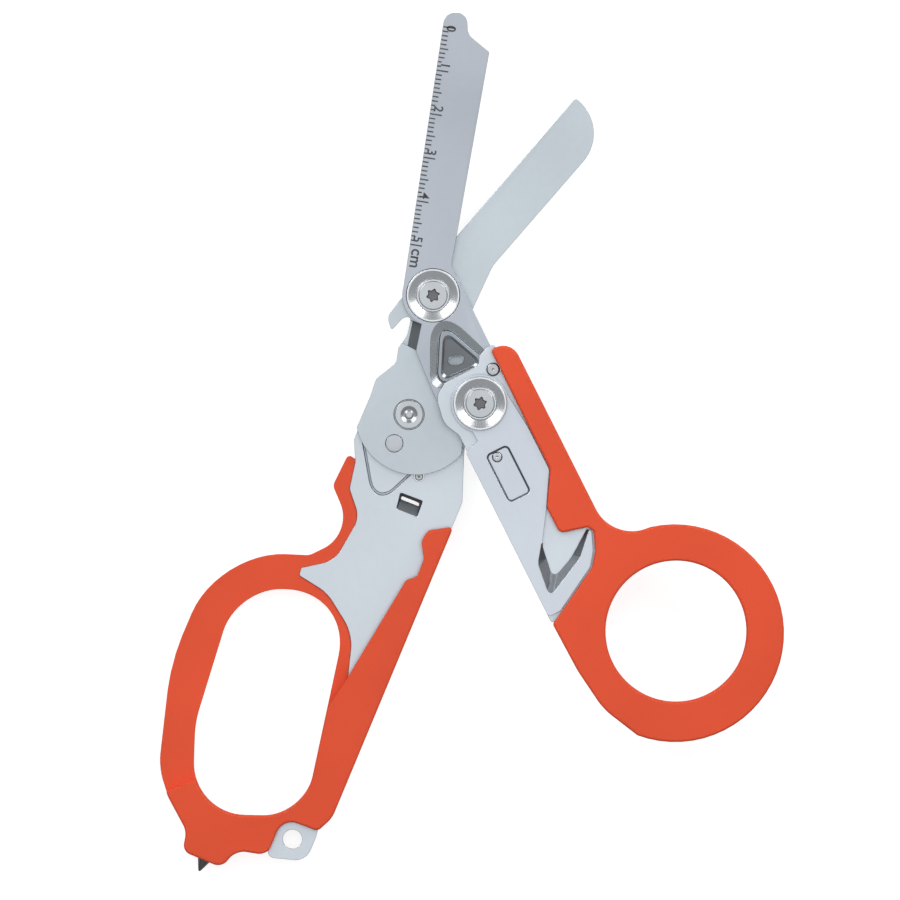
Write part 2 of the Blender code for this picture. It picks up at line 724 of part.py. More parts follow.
def detent_place():
    """The detent pin in the strap cutter's nail recess."""
    return RIGHT.at(12.6, -2.0)


def build_cutter():
    """The strap cutter with its nail recess and holes."""
    cutter = plate("strap_cutter", cutter_outline(), Z_CUTTER)
    nail = RIGHT.corners([(11.2, -4.1, 1.0), (11.2, 1.2, 1.0), (23.0, 1.2, 1.0), (23.0, -4.1, 1.0)])
    cut(cutter, hole(RIGHT_PIVOT, SLEEVE_R + GAP, Z_CUTTER),
        plate("nail", nail, (Z_CUTTER[1] - NAIL_DEPTH, Z_CUTTER[1] + 1.0)),
        hole(detent_place(), DETENT_R + FIT, Z_CUTTER))
    return cutter


def build_right_frame():
    """The right frame with its pivot hole and pin hole."""
    frame = plate("right_handle_frame", right_frame_outline(), Z_RIGHT)
    cut(frame, hole(RIGHT_PIVOT, SLEEVE_R + GAP, Z_RIGHT), hole(stop_pin_place(), STOP_PIN_R + FIT, Z_RIGHT))
    return frame


def right_grip_outline():
    """The outside of the right grip: straight arm and thumb ring."""
    outer = RING_R + RING_WALL
    edge = grown(cutter_outline(), GAP)
    count = len(edge)
    inner = [edge[count - 1], edge[count - 2]] + RIGHT.corners([
        (CUTTER_L - 22.8, 2.9, 1.0), (CUTTER_L - 15.8, 2.9, 1.5), (CUTTER_L - 14.2, 9.2, 0.5),
        (CUTTER_L - 12.7, 10.0, 0.5), (CUTTER_L - 8.6, 8.3, 2.0),
        (CUTTER_L - 5.6, 6.0, 3.0), (CUTTER_L + 0.4, CUTTER_EDGE + 3.0, 1.5),
        (CUTTER_L + 1.9, CUTTER_EDGE + 0.1, 0.3),
    ])
    start = RIGHT.corners([(-9.7, 7.6, 0.8)])
    middle = (RING_ALONG + 0.3, RING_ACROSS - 0.4)
    heel = RIGHT.corners([(RING_ALONG - 2.0, RING_ACROSS - outer + 0.7, 20.0),
                          (RING_ALONG + 8.3, RING_ACROSS - outer + 2.0, 14.0)])
    ring = RIGHT.arc(middle, outer, -47.0, 166.0)
    arm = RIGHT.corners([(RING_ALONG - outer - 0.2, RIGHT_ARM_OUT, 9.0), (-10.1, RIGHT_ARM_OUT, 4.5)])
    return start + inner + heel + ring + arm


def build_right_grip():
    """The right grip, moulded round the frame, with room for the strap cutter."""
    grip = plate("right_handle_grip", right_grip_outline(), (Z_RIGHT[0], Z_RIGHT_GRIP))
    frame_room = plate("pocket", grown(right_frame_outline(), GAP), (Z_RIGHT[0] - 1.0, Z_RIGHT[1] + GAP))
    cutter_room = plate("room", grown(cutter_outline(), GAP), (Z_CUTTER[0] - GAP, Z_RIGHT_GRIP + 1.0))
    pin_room = disc("pin_room", stop_pin_place(), STOP_PIN_R + GAP, (Z_CUTTER[0] - GAP, Z_RIGHT_GRIP + 1.0))
    ring = disc("ring", RIGHT.at(RING_ALONG, RING_ACROSS), RING_R, through((Z_RIGHT[0], Z_RIGHT_GRIP)), 48)
    cut(grip, frame_room, cutter_room, pin_room, ring)
    return grip


# ---------------------------------------------------------------- assembly

def build_left_handle(pivot):
    """Everything on the left handle: the body that the others hang from."""
    finish(build_left_frame(), "steel", pivot)
    finish(build_left_grip(), "grip", pivot)
    finish(build_breaker_holder(), "steel", pivot)
    finish(build_breaker_tip(), "carbide", pivot)
    finish(disc("left_frame_stop_pin", frame_pin_place(), SMALL_PIN_R, Z_LEFT, 16), "steel", pivot)
    finish(build_washer("left_pivot_washer", LEFT_PIVOT, WASHER_T, flip=True), "polished", pivot)
    screw = build_screw("left_pivot_screw", LEFT_PIVOT, WASHER_T, Z_REAR[0] - WASHER_T, flip=True)
    finish(screw, "polished", pivot)
    finish(build_nut("left_pivot_nut", LEFT_PIVOT, Z_REAR[1], Z_LEFT[0]), "steel", pivot)
    leaf = build_leaf("left_lock_spring", LEFT, (7.5, 0.0), (20.0, 0.0), 1.6, Z_LEFT[0] - GAP - LEAF_T,
                      Z_LEFT[1] - LEVER_T - 0.1)
    finish(leaf, "steel", pivot)


def build_rear_blade_body(pivot):
    """The rear blade and its rivet."""
    finish(build_rear_blade(), "steel", pivot)
    finish(build_rear_rivet(), "steel", pivot)


def build_ruler_blade_body(pivot):
    """The ruler blade, its lock's fixed pieces and the two pivots that it carries."""
    seat = Z_RULER[1] - WASHER_T
    base = Z_CUTTER[1] + GAP
    finish(build_ruler_blade(), "steel", pivot)
    finish(build_washer("main_pivot_washer", MAIN, seat), "polished", pivot)
    main_screw = build_screw("main_pivot_screw", MAIN, seat, seat - Z_REAR[0] - FLANGE_T * 0.8)
    finish(main_screw, "polished", pivot)
    finish(build_nut("main_pivot_nut", MAIN, Z_REAR[0], Z_RULER[1] - WASHER_T - FIT), "steel", pivot)
    finish(build_washer("right_pivot_washer", RIGHT_PIVOT, base), "polished", pivot)
    right_screw = build_screw("right_pivot_screw", RIGHT_PIVOT, base, base - Z_RULER[0] - FLANGE_T * 0.8)
    finish(right_screw, "polished", pivot)
    finish(build_nut("right_pivot_nut", RIGHT_PIVOT, Z_RULER[0], Z_CUTTER[1]), "steel", pivot)
    finish(build_lock_cover(), "steel", pivot)
    flange = Z_RULER[1] - 0.1 - BUTTON_T
    seat = Z_RULER[0] + COVER_T + 0.05
    leaf = build_leaf("right_lock_spring", RULER_T, (11.5, -1.0), (19.3, -1.0), 1.4, seat, flange - 0.05)
    finish(leaf, "steel", pivot)


def build_right_handle_body(pivot):
    """The right frame, its grip and the strap cutter's stop pin."""
    finish(build_right_frame(), "steel", pivot)
    finish(build_right_grip(), "grip", pivot)
    pin = disc("cutter_stop_pin", stop_pin_place(), STOP_PIN_R, (Z_RIGHT[0], Z_CUTTER[1] - 0.4), 20)
    finish(pin, "polished", pivot)


def build_strap_cutter_body(pivot):
    """The strap cutter and its detent pin."""
    finish(build_cutter(), "steel", pivot)
    levels = (Z_CUTTER[0], Z_CUTTER[1] - NAIL_DEPTH + FIT)
    detent = disc("cutter_detent_pin", detent_place(), DETENT_R, levels, 16)
    finish(detent, "polished", pivot)


def stand_on_origin(pivots):
    """Move the whole tool so that the bottom centre of its box is at the origin."""
    bpy.context.view_layer.update()
    corners = []
    for item in bpy.context.scene.objects:
        if item.type == "MESH":
            corners += [item.matrix_world @ Vector(corner) for corner in item.bound_box]
    low = [min(corner[axis] for corner in corners) for axis in range(3)]
    high = [max(corner[axis] for corner in corners) for axis in range(3)]
    shift = Vector(((low[0] + high[0]) / 2.0, (low[1] + high[1]) / 2.0, low[2]))
    for pivot in pivots:
        pivot.location -= shift
    bpy.context.view_layer.update()


def main():
    """Build the tool body by body."""
    for item in list(bpy.data.objects):
        bpy.data.objects.remove(item)
    left = pivot_empty("left_handle_axis", LEFT_PIVOT, 0.0)
    rear = pivot_empty("rear_blade_axis", LEFT_PIVOT, 0.0)
    ruler = pivot_empty("ruler_blade_axis", MAIN, 0.0)
    right = pivot_empty("right_handle_axis", RIGHT_PIVOT, 0.0)
    cutter = pivot_empty("strap_cutter_axis", RIGHT_PIVOT, 0.0)
    button = pivot_empty("lock_button_axis", button_centre(), 0.0)
    lever = pivot_empty("lock_lever_axis", LEFT.at(12.0, 0.0), 0.0)
    build_left_handle(left)
    build_rear_blade_body(rear)
    build_ruler_blade_body(ruler)
    build_right_handle_body(right)
    build_strap_cutter_body(cutter)
    finish(build_lock_button(), "steel", button)
    finish(build_lock_lever(), "steel", lever)
    stand_on_origin([left, rear, ruler, right, cutter, button, lever])


main()
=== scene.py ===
"""Looks of the folding rescue shears: steel blades and frames, moulded grips, pivots, locks and ruler.

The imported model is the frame.  Every piece here is modelled in millimetres in the flat axes of its own
part of the tool, at the heights that the frame gives, and is brought to metres when it is finished.
"""

import logging
import math
from collections.abc import Callable
from dataclasses import dataclass, field
from enum import Enum

import bmesh
import bpy
from mathutils import Matrix, Vector

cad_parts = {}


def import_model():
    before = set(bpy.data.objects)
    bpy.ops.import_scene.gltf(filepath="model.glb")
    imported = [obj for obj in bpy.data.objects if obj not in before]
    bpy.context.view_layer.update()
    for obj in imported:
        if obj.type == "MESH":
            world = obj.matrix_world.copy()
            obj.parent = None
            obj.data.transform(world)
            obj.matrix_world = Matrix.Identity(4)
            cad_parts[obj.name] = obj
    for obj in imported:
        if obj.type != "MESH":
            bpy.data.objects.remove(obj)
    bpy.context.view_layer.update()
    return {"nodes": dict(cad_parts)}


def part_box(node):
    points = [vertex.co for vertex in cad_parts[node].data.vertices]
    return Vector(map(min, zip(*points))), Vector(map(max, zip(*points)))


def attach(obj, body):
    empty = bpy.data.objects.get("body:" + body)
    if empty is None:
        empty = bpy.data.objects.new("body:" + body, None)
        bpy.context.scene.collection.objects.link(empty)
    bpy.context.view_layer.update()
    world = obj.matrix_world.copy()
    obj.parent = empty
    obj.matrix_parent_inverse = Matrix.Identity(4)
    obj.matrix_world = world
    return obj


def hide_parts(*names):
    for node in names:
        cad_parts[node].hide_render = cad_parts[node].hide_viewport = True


Corner = tuple[float, float, float]
Span = tuple[float, float]

# Lengths are in millimetres, apart from the studio's, and angles in degrees.
MM = 0.001  # metres in a millimetre
CLEAR = 1.0  # how far a tool reaches past what it cuts through
SKIM = 0.01  # how far a tool stands proud of the face that it enters
FIT_GAP = 0.3  # above and below a frame in its grip
SEAT_GAP = 0.06  # round a frame in its grip
SWING_GAP = 0.15  # round the strap cutter in its grip
MERGE_GAP = 0.002  # vertices closer than this are one
PIVOT_BORE = 2.7  # radius of the pivot holes
NUT_RADIUS = 3.5  # of the seats for the barrel nuts
NUT_DEPTH = 1.1  # of the same seats
ROUND_STEP = 6.0  # the turn of one step in a rounded corner
TURNED_STEPS = 96  # steps in a full turn of a turned piece
LOG = logging.getLogger("rescue_shears")


class Lean(Enum):
    """The direction of each part of the tool, in degrees clockwise from the way the blades point."""

    RULER = 9.0
    REAR = 41.0
    RULER_TANG = 156.5
    REAR_TANG = 191.4
    LEFT_HANDLE = 202.7
    RIGHT_HANDLE = 153.3


# ---------------------------------------------------------------- measures of the frame

def span(node: str) -> Span:
    """The lowest and highest level of a CAD node, in millimetres."""
    low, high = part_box(node)
    return low[2] / MM, high[2] / MM


def middle(node: str) -> Vector:
    """The middle of a CAD node seen from above, in millimetres."""
    low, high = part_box(node)
    return Vector(((low[0] + high[0]) / 2.0 / MM, (low[1] + high[1]) / 2.0 / MM))


class Axes:
    """Flat axes in millimetres: `along` runs with the part, `across` to its side."""

    def __init__(self, origin: Vector, lean: Lean, right_handed: bool = True) -> None:
        """Set up the axes.

        Args:
            origin: where along and across are both 0.
            lean: the direction of `along`.
            right_handed: whether `across` is to the right of `along`.
        """
        angle = math.radians(lean.value)
        side = 1.0 if right_handed else -1.0
        self.origin = Vector(origin)
        self.along = Vector((math.sin(angle), math.cos(angle)))
        self.across = Vector((math.cos(angle), -math.sin(angle))) * side

    def at(self, along: float, across: float = 0.0) -> Vector:
        """The point at a place in these axes."""
        return self.origin + self.along * along + self.across * across

    def corners(self, rows: list[Corner]) -> list[Corner]:
        """The rows (along, across, round) as corners (x, y, round)."""
        return [(*self.at(along, across), radius) for along, across, radius in rows]

    def arc(self, centre: Span, radius: float, start: float, end: float) -> list[Corner]:
        """Corners along an arc.

        Args:
            centre: the arc's centre (along, across).
            radius: its radius.
            start: its first angle in degrees, from `along` towards `across`.
            end: its last angle.

        Returns:
            The corners, none of them rounded.
        """
        count = math.ceil(abs(end - start) / ROUND_STEP)
        rows = []
        for step in range(count + 1):
            angle = math.radians(start + (end - start) * step / count)
            rows.append((centre[0] + radius * math.cos(angle), centre[1] + radius * math.sin(angle), 0.0))
        return self.corners(rows)


# ---------------------------------------------------------------- outlines

def meeting(corners: list[Corner], index: int) -> tuple[Vector, Vector, Vector]:
    """A corner's point, between those of the corners before and after it."""
    after = corners[(index + 1) % len(corners)]
    return Vector(corners[index - 1][:2]), Vector(corners[index][:2]), Vector(after[:2])


def grown(corners: list[Corner], distance: float) -> list[Corner]:
    """An outline moved outwards by a distance, with its rounds kept concentric.

    Args:
        corners: the outline.
        distance: how far it moves; less than 0 moves it inwards.

    Returns:
        The moved outline.
    """
    area = 0.0
    for index in range(len(corners)):
        _, here, after = meeting(corners, index)
        area += here.cross(after)
    turn = math.copysign(1.0, area)
    result = []
    for index, corner in enumerate(corners):
        before, here, after = meeting(corners, index)
        into = (here - before).normalized()
        out = (after - here).normalized()
        normal_in = Vector((into.y, -into.x)) * turn
        normal_out = Vector((out.y, -out.x)) * turn
        move = (normal_in + normal_out) * (distance / (1.0 + normal_in.dot(normal_out)))
        radius = corner[2]
        if radius > 0.0:
            radius = max(0.05, radius + math.copysign(distance, distance * into.cross(out) * turn))
        result.append((here.x + move.x, here.y + move.y, radius))
    return result


def reaches(corners: list[Corner]) -> list[float]:
    """How far each corner's round runs along its two sides; two rounds on one side share it.

    Args:
        corners: the outline.

    Returns:
        One distance for each corner.
    """
    wanted = []
    for index, corner in enumerate(corners):
        before, here, after = meeting(corners, index)
        opening = (before - here).angle(after - here)
        straight = corner[2] <= 0.0 or opening > math.radians(179.0)
        wanted.append(0.0 if straight else corner[2] / math.tan(opening / 2.0))
    allowed = list(wanted)
    for index, reach in enumerate(wanted):
        for other in (index - 1, (index + 1) % len(corners)):
            side = (Vector(corners[index][:2]) - Vector(corners[other][:2])).length
            both = reach + wanted[other]
            if both > 0.98 * side:
                allowed[index] = min(allowed[index], reach * 0.98 * side / both)
    return allowed


def round_steps(corners: list[Corner]) -> list[int]:
    """How many steps each corner's round needs; 0 where the corner stays sharp.

    Args:
        corners: the outline.

    Returns:
        One count for each corner.
    """
    steps = []
    for index, reach in enumerate(reaches(corners)):
        before, here, after = meeting(corners, index)
        turn = 180.0 - math.degrees((before - here).angle(after - here))
        steps.append(max(2, math.ceil(turn / ROUND_STEP)) if reach > 0.0 else 0)
    return steps


def blank(shape: bmesh.types.BMesh, corners: list[Corner], level: float,
          steps: list[int] | None = None) -> bmesh.types.BMFace:
    """Lay one flat face with rounded corners into a bmesh.

    Args:
        shape: the bmesh.
        corners: the outline.
        level: its height.
        steps: the steps in each corner's round, where they are given.

    Returns:
        The face.
    """
    steps = steps or round_steps(corners)
    verts = [shape.verts.new((x, y, level)) for x, y, _ in corners]
    face = shape.faces.new(verts)
    others = set(shape.faces) - {face}
    for index, reach in enumerate(reaches(corners)):
        if reach > 0.0:
            bmesh.ops.bevel(
                shape, geom=[verts[index]], offset=reach, offset_type="OFFSET", affect="VERTICES",
                segments=steps[index], profile=0.5, clamp_overlap=False, material=-1,
            )
    return next(item for item in shape.faces if item not in others)


# ---------------------------------------------------------------- solids

def to_object(name: str, shape: bmesh.types.BMesh) -> bpy.types.Object:
    """Make a bmesh an object whose faces point outwards.

    Args:
        name: the object's name.
        shape: the bmesh, which is used up.

    Returns:
        The object.
    """
    bmesh.ops.recalc_face_normals(shape, faces=shape.faces)
    mesh = bpy.data.meshes.new(name)
    shape.to_mesh(mesh)
    shape.free()
    item = bpy.data.objects.new(name, mesh)
    bpy.context.scene.collection.objects.link(item)
    return item


def plate(name: str, corners: list[Corner], levels: Span) -> bpy.types.Object:
    """A flat plate: one rounded face, extruded from its lower to its upper level.

    Args:
        name: the plate's name.
        corners: its outline.
        levels: its lower and upper level.

    Returns:
        The plate.
    """
    shape = bmesh.new()
    face = blank(shape, corners, levels[0])
    grown_up = bmesh.ops.extrude_face_region(shape, geom=[face])
    top = [part for part in grown_up["geom"] if isinstance(part, bmesh.types.BMVert)]
    bmesh.ops.translate(shape, verts=top, vec=(0.0, 0.0, levels[1] - levels[0]))
    return to_object(name, shape)


def drum(name: str, centre: Vector, radius: float, levels: Span,
         sides: int = TURNED_STEPS) -> bpy.types.Object:
    """A round or many-sided solid that stands between two levels.

    Args:
        name: its name.
        centre: where its axis stands.
        radius: the distance from the axis to its corners.
        levels: its lower and upper level.
        sides: how many sides it has.

    Returns:
        The solid.
    """
    shape = bmesh.new()
    bmesh.ops.create_cone(shape, cap_ends=True, segments=sides, radius1=radius, radius2=radius,
                          depth=levels[1] - levels[0])
    bmesh.ops.rotate(shape, verts=shape.verts, matrix=Matrix.Rotation(math.radians(-90.0), 3, "Z"))
    bmesh.ops.translate(shape, verts=shape.verts, vec=(centre.x, centre.y, (levels[0] + levels[1]) / 2.0))
    return to_object(name, shape)


def taper(name: str, low: list[Corner], high: list[Corner], levels: Span) -> bpy.types.Object:
    """A solid that runs from one outline to another whose corners and rounds pair with its own.

    Args:
        name: the solid's name.
        low: its lower outline.
        high: its upper outline.
        levels: its lower and upper level.

    Returns:
        The solid.
    """
    shape = bmesh.new()
    steps = [max(pair) for pair in zip(round_steps(low), round_steps(high))]
    blank(shape, low, levels[0], steps)
    blank(shape, high, levels[1], steps)
    bmesh.ops.bridge_loops(shape, edges=shape.edges)
    return to_object(name, shape)


def turned(name: str, profile: list[Span], centre: Vector, level: float,
           side: float = 1.0) -> bpy.types.Object:
    """A profile of (radius, rise) turned about an upright axis.

    Args:
        name: the new object's name.
        profile: the closed or axis-to-axis profile.
        centre: where the axis stands.
        level: the height where rise is 0.
        side: 1 to face up, -1 to face down.

    Returns:
        The turned solid.
    """
    shape = bmesh.new()
    verts = [shape.verts.new((radius, 0.0, side * rise)) for radius, rise in profile]
    edges = [shape.edges.new(pair) for pair in zip(verts, verts[1:])]
    if profile[0][0] > 0.0:
        edges.append(shape.edges.new((verts[-1], verts[0])))
    bmesh.ops.spin(shape, geom=verts + edges, axis=(0.0, 0.0, 1.0), cent=(0.0, 0.0, 0.0),
                   angle=2.0 * math.pi, steps=TURNED_STEPS, use_merge=True)
    bmesh.ops.remove_doubles(shape, verts=shape.verts, dist=0.0005)
    bmesh.ops.translate(shape, verts=shape.verts, vec=(centre.x, centre.y, level))
    return to_object(name, shape)


def lying_bar(name: str, ends: tuple[Vector, Vector], level: float, radii: Span) -> bpy.types.Object:
    """A round bar or cone lying level between two points.

    Args:
        name: the bar's name.
        ends: the middles of its two ends.
        level: the height of its axis.
        radii: its radius at each end.

    Returns:
        The bar.
    """
    axis = Vector((*(ends[1] - ends[0]), 0.0))
    centre = Vector((*((ends[0] + ends[1]) / 2.0), level))
    shape = bmesh.new()
    bmesh.ops.create_cone(shape, cap_ends=True, segments=48, radius1=radii[0], radius2=radii[1],
                          depth=axis.length)
    turn = Vector((0.0, 0.0, 1.0)).rotation_difference(axis.normalized()).to_matrix().to_4x4()
    bmesh.ops.transform(shape, verts=shape.verts, matrix=Matrix.Translation(centre) @ turn)
    return to_object(name, shape)


def settle(item: bpy.types.Object) -> None:
    """Make an object's modifiers part of its mesh.

    Args:
        item: the object.
    """
    evaluated = item.evaluated_get(bpy.context.evaluated_depsgraph_get())
    mesh = bpy.data.meshes.new_from_object(evaluated)
    mesh.name = item.name
    item.modifiers.clear()
    item.data = mesh


def cut(item: bpy.types.Object, *tools: bpy.types.Object, operation: str = "DIFFERENCE") -> None:
    """Cut tools out of a piece, or join them to it.

    Args:
        item: the piece.
        tools: the solids to cut with; they are used up.
        operation: DIFFERENCE or UNION.
    """
    for tool in tools:
        boolean = item.modifiers.new("Cut", "BOOLEAN")
        boolean.operation = operation
        boolean.solver = "EXACT"
        boolean.object = tool
        settle(item)
        bpy.data.objects.remove(tool)


def soften(item: bpy.types.Object, width: float, segments: int = 2, sharper_than: float = 30.0) -> None:
    """Round a piece's edges.

    Args:
        item: the piece.
        width: how far each edge is cut back.
        segments: steps in each round.
        sharper_than: the angle in degrees from which an edge is rounded.
    """
    bevel = item.modifiers.new("Edges", "BEVEL")
    bevel.width = width
    bevel.segments = segments
    bevel.limit_method = "ANGLE"
    bevel.angle_limit = math.radians(sharper_than)
    bevel.use_clamp_overlap = False
    settle(item)


def clean(item: bpy.types.Object) -> None:
    """Merge a piece's doubled vertices and take out faces that have no area.

    Args:
        item: the piece.
    """
    shape = bmesh.new()
    shape.from_mesh(item.data)
    bmesh.ops.remove_doubles(shape, verts=shape.verts, dist=MERGE_GAP)
    bmesh.ops.dissolve_degenerate(shape, dist=MERGE_GAP, edges=shape.edges)
    shape.to_mesh(item.data)
    shape.free()


def shade(item: bpy.types.Object) -> None:
    """Shade a piece smoothly while its flat faces stay flat, and bring it to metres.

    Args:
        item: the piece.
    """
    clean(item)
    item.data.polygons.foreach_set("use_smooth", [True] * len(item.data.polygons))
    weighted = item.modifiers.new("Flat faces", "WEIGHTED_NORMAL")
    weighted.keep_sharp = True
    settle(item)
    item.data.transform(Matrix.Scale(MM, 4))


def hole(centre: Vector, radius: float, levels: Span) -> bpy.types.Object:
    """A tool for a round hole right through a plate."""
    return drum("hole", centre, radius, (levels[0] - CLEAR, levels[1] + CLEAR))


# ---------------------------------------------------------------- shader groups

class Group:
    """A shader node group under construction, with helpers that keep its making short."""

    def __init__(self, name: str, inputs: dict[str, tuple[str, object]], outputs: dict[str, str]) -> None:
        """Start a group.

        Args:
            name: the group's name.
            inputs: each input's name with its socket type and value.
            outputs: each output's name with its socket type.
        """
        self.tree = bpy.data.node_groups.new(name, "ShaderNodeTree")
        for label, (kind, value) in inputs.items():
            socket = self.tree.interface.new_socket(label, in_out="INPUT", socket_type=kind)
            if value is not None:
                socket.default_value = value
        for label, kind in outputs.items():
            self.tree.interface.new_socket(label, in_out="OUTPUT", socket_type=kind)
        self.start = self.tree.nodes.new("NodeGroupInput")
        self.end = self.tree.nodes.new("NodeGroupOutput")

    def node(self, kind: str, values: dict[str, object] | None = None,
             links: dict[str, bpy.types.NodeSocket] | None = None, **settings: object) -> bpy.types.Node:
        """Add a node; see `add_node`."""
        return add_node(self.tree, kind, values, links, **settings)

    def result(self, name: str, socket: bpy.types.NodeSocket) -> None:
        """Lead a socket to one of the group's outputs."""
        self.tree.links.new(socket, self.end.inputs[name])


def add_node(tree: bpy.types.NodeTree, kind: str, values: dict[str | int, object] | None = None,
             links: dict[str | int, bpy.types.NodeSocket] | None = None,
             **settings: object) -> bpy.types.Node:
    """Add a node to a tree.

    Args:
        tree: the node tree.
        kind: the node's type, without the words that all of them share.
        values: input values by name or number.
        links: sockets that lead to inputs, by name or number.
        settings: the node's own settings.

    Returns:
        The node.
    """
    node = tree.nodes.new(f"ShaderNode{kind}")
    for name, value in settings.items():
        setattr(node, name, value)
    for name, value in (values or {}).items():
        node.inputs[name].default_value = value
    for name, socket in (links or {}).items():
        tree.links.new(socket, node.inputs[name])
    return node


def make_speckle() -> bpy.types.NodeTree:
    """The fine even grain of blasted steel or spark-eroded plastic: a height and a mask.

    Returns:
        The node group.
    """
    group = Group("fine_speckle",
                  {"Vector": ("NodeSocketVector", None), "Per Metre": ("NodeSocketFloat", 4000.0),
                                   "Contrast": ("NodeSocketFloat", 0.5)},
                  {"Height": "NodeSocketFloat", "Mask": "NodeSocketFloat"})
    inputs = group.start.outputs
    noise = group.node("TexNoise", {"Detail": 3.0, "Roughness": 0.62},
                       {"Vector": inputs["Vector"], "Scale": inputs["Per Metre"]})
    centred = group.node("Math", {1: 0.5}, {0: noise.outputs["Fac"]}, operation="SUBTRACT")
    spread = group.node("Math", {}, {0: centred.outputs[0], 1: inputs["Contrast"]}, operation="MULTIPLY")
    mask = group.node("Math", {1: 0.5}, {0: spread.outputs[0]}, operation="ADD", use_clamp=True)
    group.result("Height", noise.outputs["Fac"])
    group.result("Mask", mask.outputs[0])
    return group.tree


def make_clouding() -> bpy.types.NodeTree:
    """Slow changes of tone over a surface, between two colours.

    Returns:
        The node group.
    """
    group = Group("slow_clouding",
                  {"Vector": ("NodeSocketVector", None), "Per Metre": ("NodeSocketFloat", 30.0),
                                    "Low": ("NodeSocketColor", (0.4, 0.4, 0.4, 1.0)),
                                    "High": ("NodeSocketColor", (0.6, 0.6, 0.6, 1.0))},
                  {"Color": "NodeSocketColor", "Mask": "NodeSocketFloat"})
    inputs = group.start.outputs
    noise = group.node("TexNoise", {"Detail": 1.5, "Roughness": 0.4},
                       {"Vector": inputs["Vector"], "Scale": inputs["Per Metre"]})
    mask = group.node("MapRange", {"From Min": 0.32, "From Max": 0.68}, {"Value": noise.outputs["Fac"]})
    mix = group.node("Mix", {}, {0: mask.outputs["Result"], 6: inputs["Low"], 7: inputs["High"]},
                     data_type="RGBA")
    group.result("Color", mix.outputs[2])
    group.result("Mask", mask.outputs["Result"])
    return group.tree


def make_hairlines() -> bpy.types.NodeTree:
    """Fine scratches that run one way: a mask and a height.

    Returns:
        The node group.
    """
    group = Group("hairlines",
                  {"Vector": ("NodeSocketVector", None), "Turn": ("NodeSocketVector", (0.0, 0.0, 0.0)),
                                "Amount": ("NodeSocketFloat", 0.5)},
                  {"Height": "NodeSocketFloat", "Mask": "NodeSocketFloat"})
    inputs = group.start.outputs
    mapping = group.node("Mapping", {"Scale": (9000.0, 220.0, 220.0)},
                         {"Vector": inputs["Vector"], "Rotation": inputs["Turn"]})
    noise = group.node("TexNoise", {"Scale": 1.0, "Detail": 2.0, "Roughness": 0.5},
                       {"Vector": mapping.outputs["Vector"]})
    lines = group.node("MapRange", {"From Min": 0.5, "From Max": 0.72}, {"Value": noise.outputs["Fac"]})
    faint = group.node("Math", {}, {0: lines.outputs["Result"], 1: inputs["Amount"]}, operation="MULTIPLY")
    group.result("Height", noise.outputs["Fac"])
    group.result("Mask", faint.outputs[0])
    return group.tree


def make_edge_wear() -> bpy.types.NodeTree:
    """Where edges stick out and are rubbed: a mask broken up by grain.

    Returns:
        The node group.
    """
    group = Group("edge_wear", {"Vector": ("NodeSocketVector", None), "Amount": ("NodeSocketFloat", 0.6)},
                  {"Mask": "NodeSocketFloat"})
    inputs = group.start.outputs
    shape = group.node("NewGeometry")
    raised = group.node("MapRange", {"From Min": 0.5, "From Max": 0.62},
                        {"Value": shape.outputs["Pointiness"]})
    noise = group.node("TexNoise", {"Scale": 600.0, "Detail": 2.0}, {"Vector": inputs["Vector"]})
    broken = group.node("Math", {}, {0: raised.outputs["Result"], 1: noise.outputs["Fac"]},
                        operation="MULTIPLY")
    worn = group.node("Math", {}, {0: broken.outputs[0], 1: inputs["Amount"]}, operation="MULTIPLY",
                      use_clamp=True)
    group.result("Mask", worn.outputs[0])
    return group.tree


class Effects:
    """The shader groups that several finishes use, each made once."""

    def __init__(self) -> None:
        """Make the groups."""
        self.speckle = make_speckle()
        self.clouding = make_clouding()
        self.hairlines = make_hairlines()
        self.edge_wear = make_edge_wear()

    def place(self, tree: bpy.types.NodeTree, group: bpy.types.NodeTree, values: dict[str, object],
              vector: bpy.types.NodeSocket) -> bpy.types.Node:
        """Place one of the groups in a material with its own values.

        Args:
            tree: the material's nodes.
            group: which group.
            values: the values of its sockets.
            vector: the coordinates it uses.

        Returns:
            The group's node.
        """
        node = add_node(tree, "Group", node_tree=group)
        tree.links.new(vector, node.inputs["Vector"])
        for name, value in values.items():
            node.inputs[name].default_value = value
        return node


# ---------------------------------------------------------------- finishes

def new_material(name: str) -> tuple[bpy.types.Material, bpy.types.Node, bpy.types.NodeSocket]:
    """A material, its shader and the Object coordinates.

    Args:
        name: the material's name.

    Returns:
        The material, its shader and the socket of its coordinates.
    """
    material = bpy.data.materials.new(name)
    material.use_nodes = True
    place = add_node(material.node_tree, "TexCoord")
    return material, material.node_tree.nodes["Principled BSDF"], place.outputs["Object"]


def shaded_colour(colour: Corner, share: float) -> tuple[float, float, float, float]:
    """A colour made darker or lighter by a share, with full alpha."""
    return (*[min(1.0, part * share) for part in colour], 1.0)


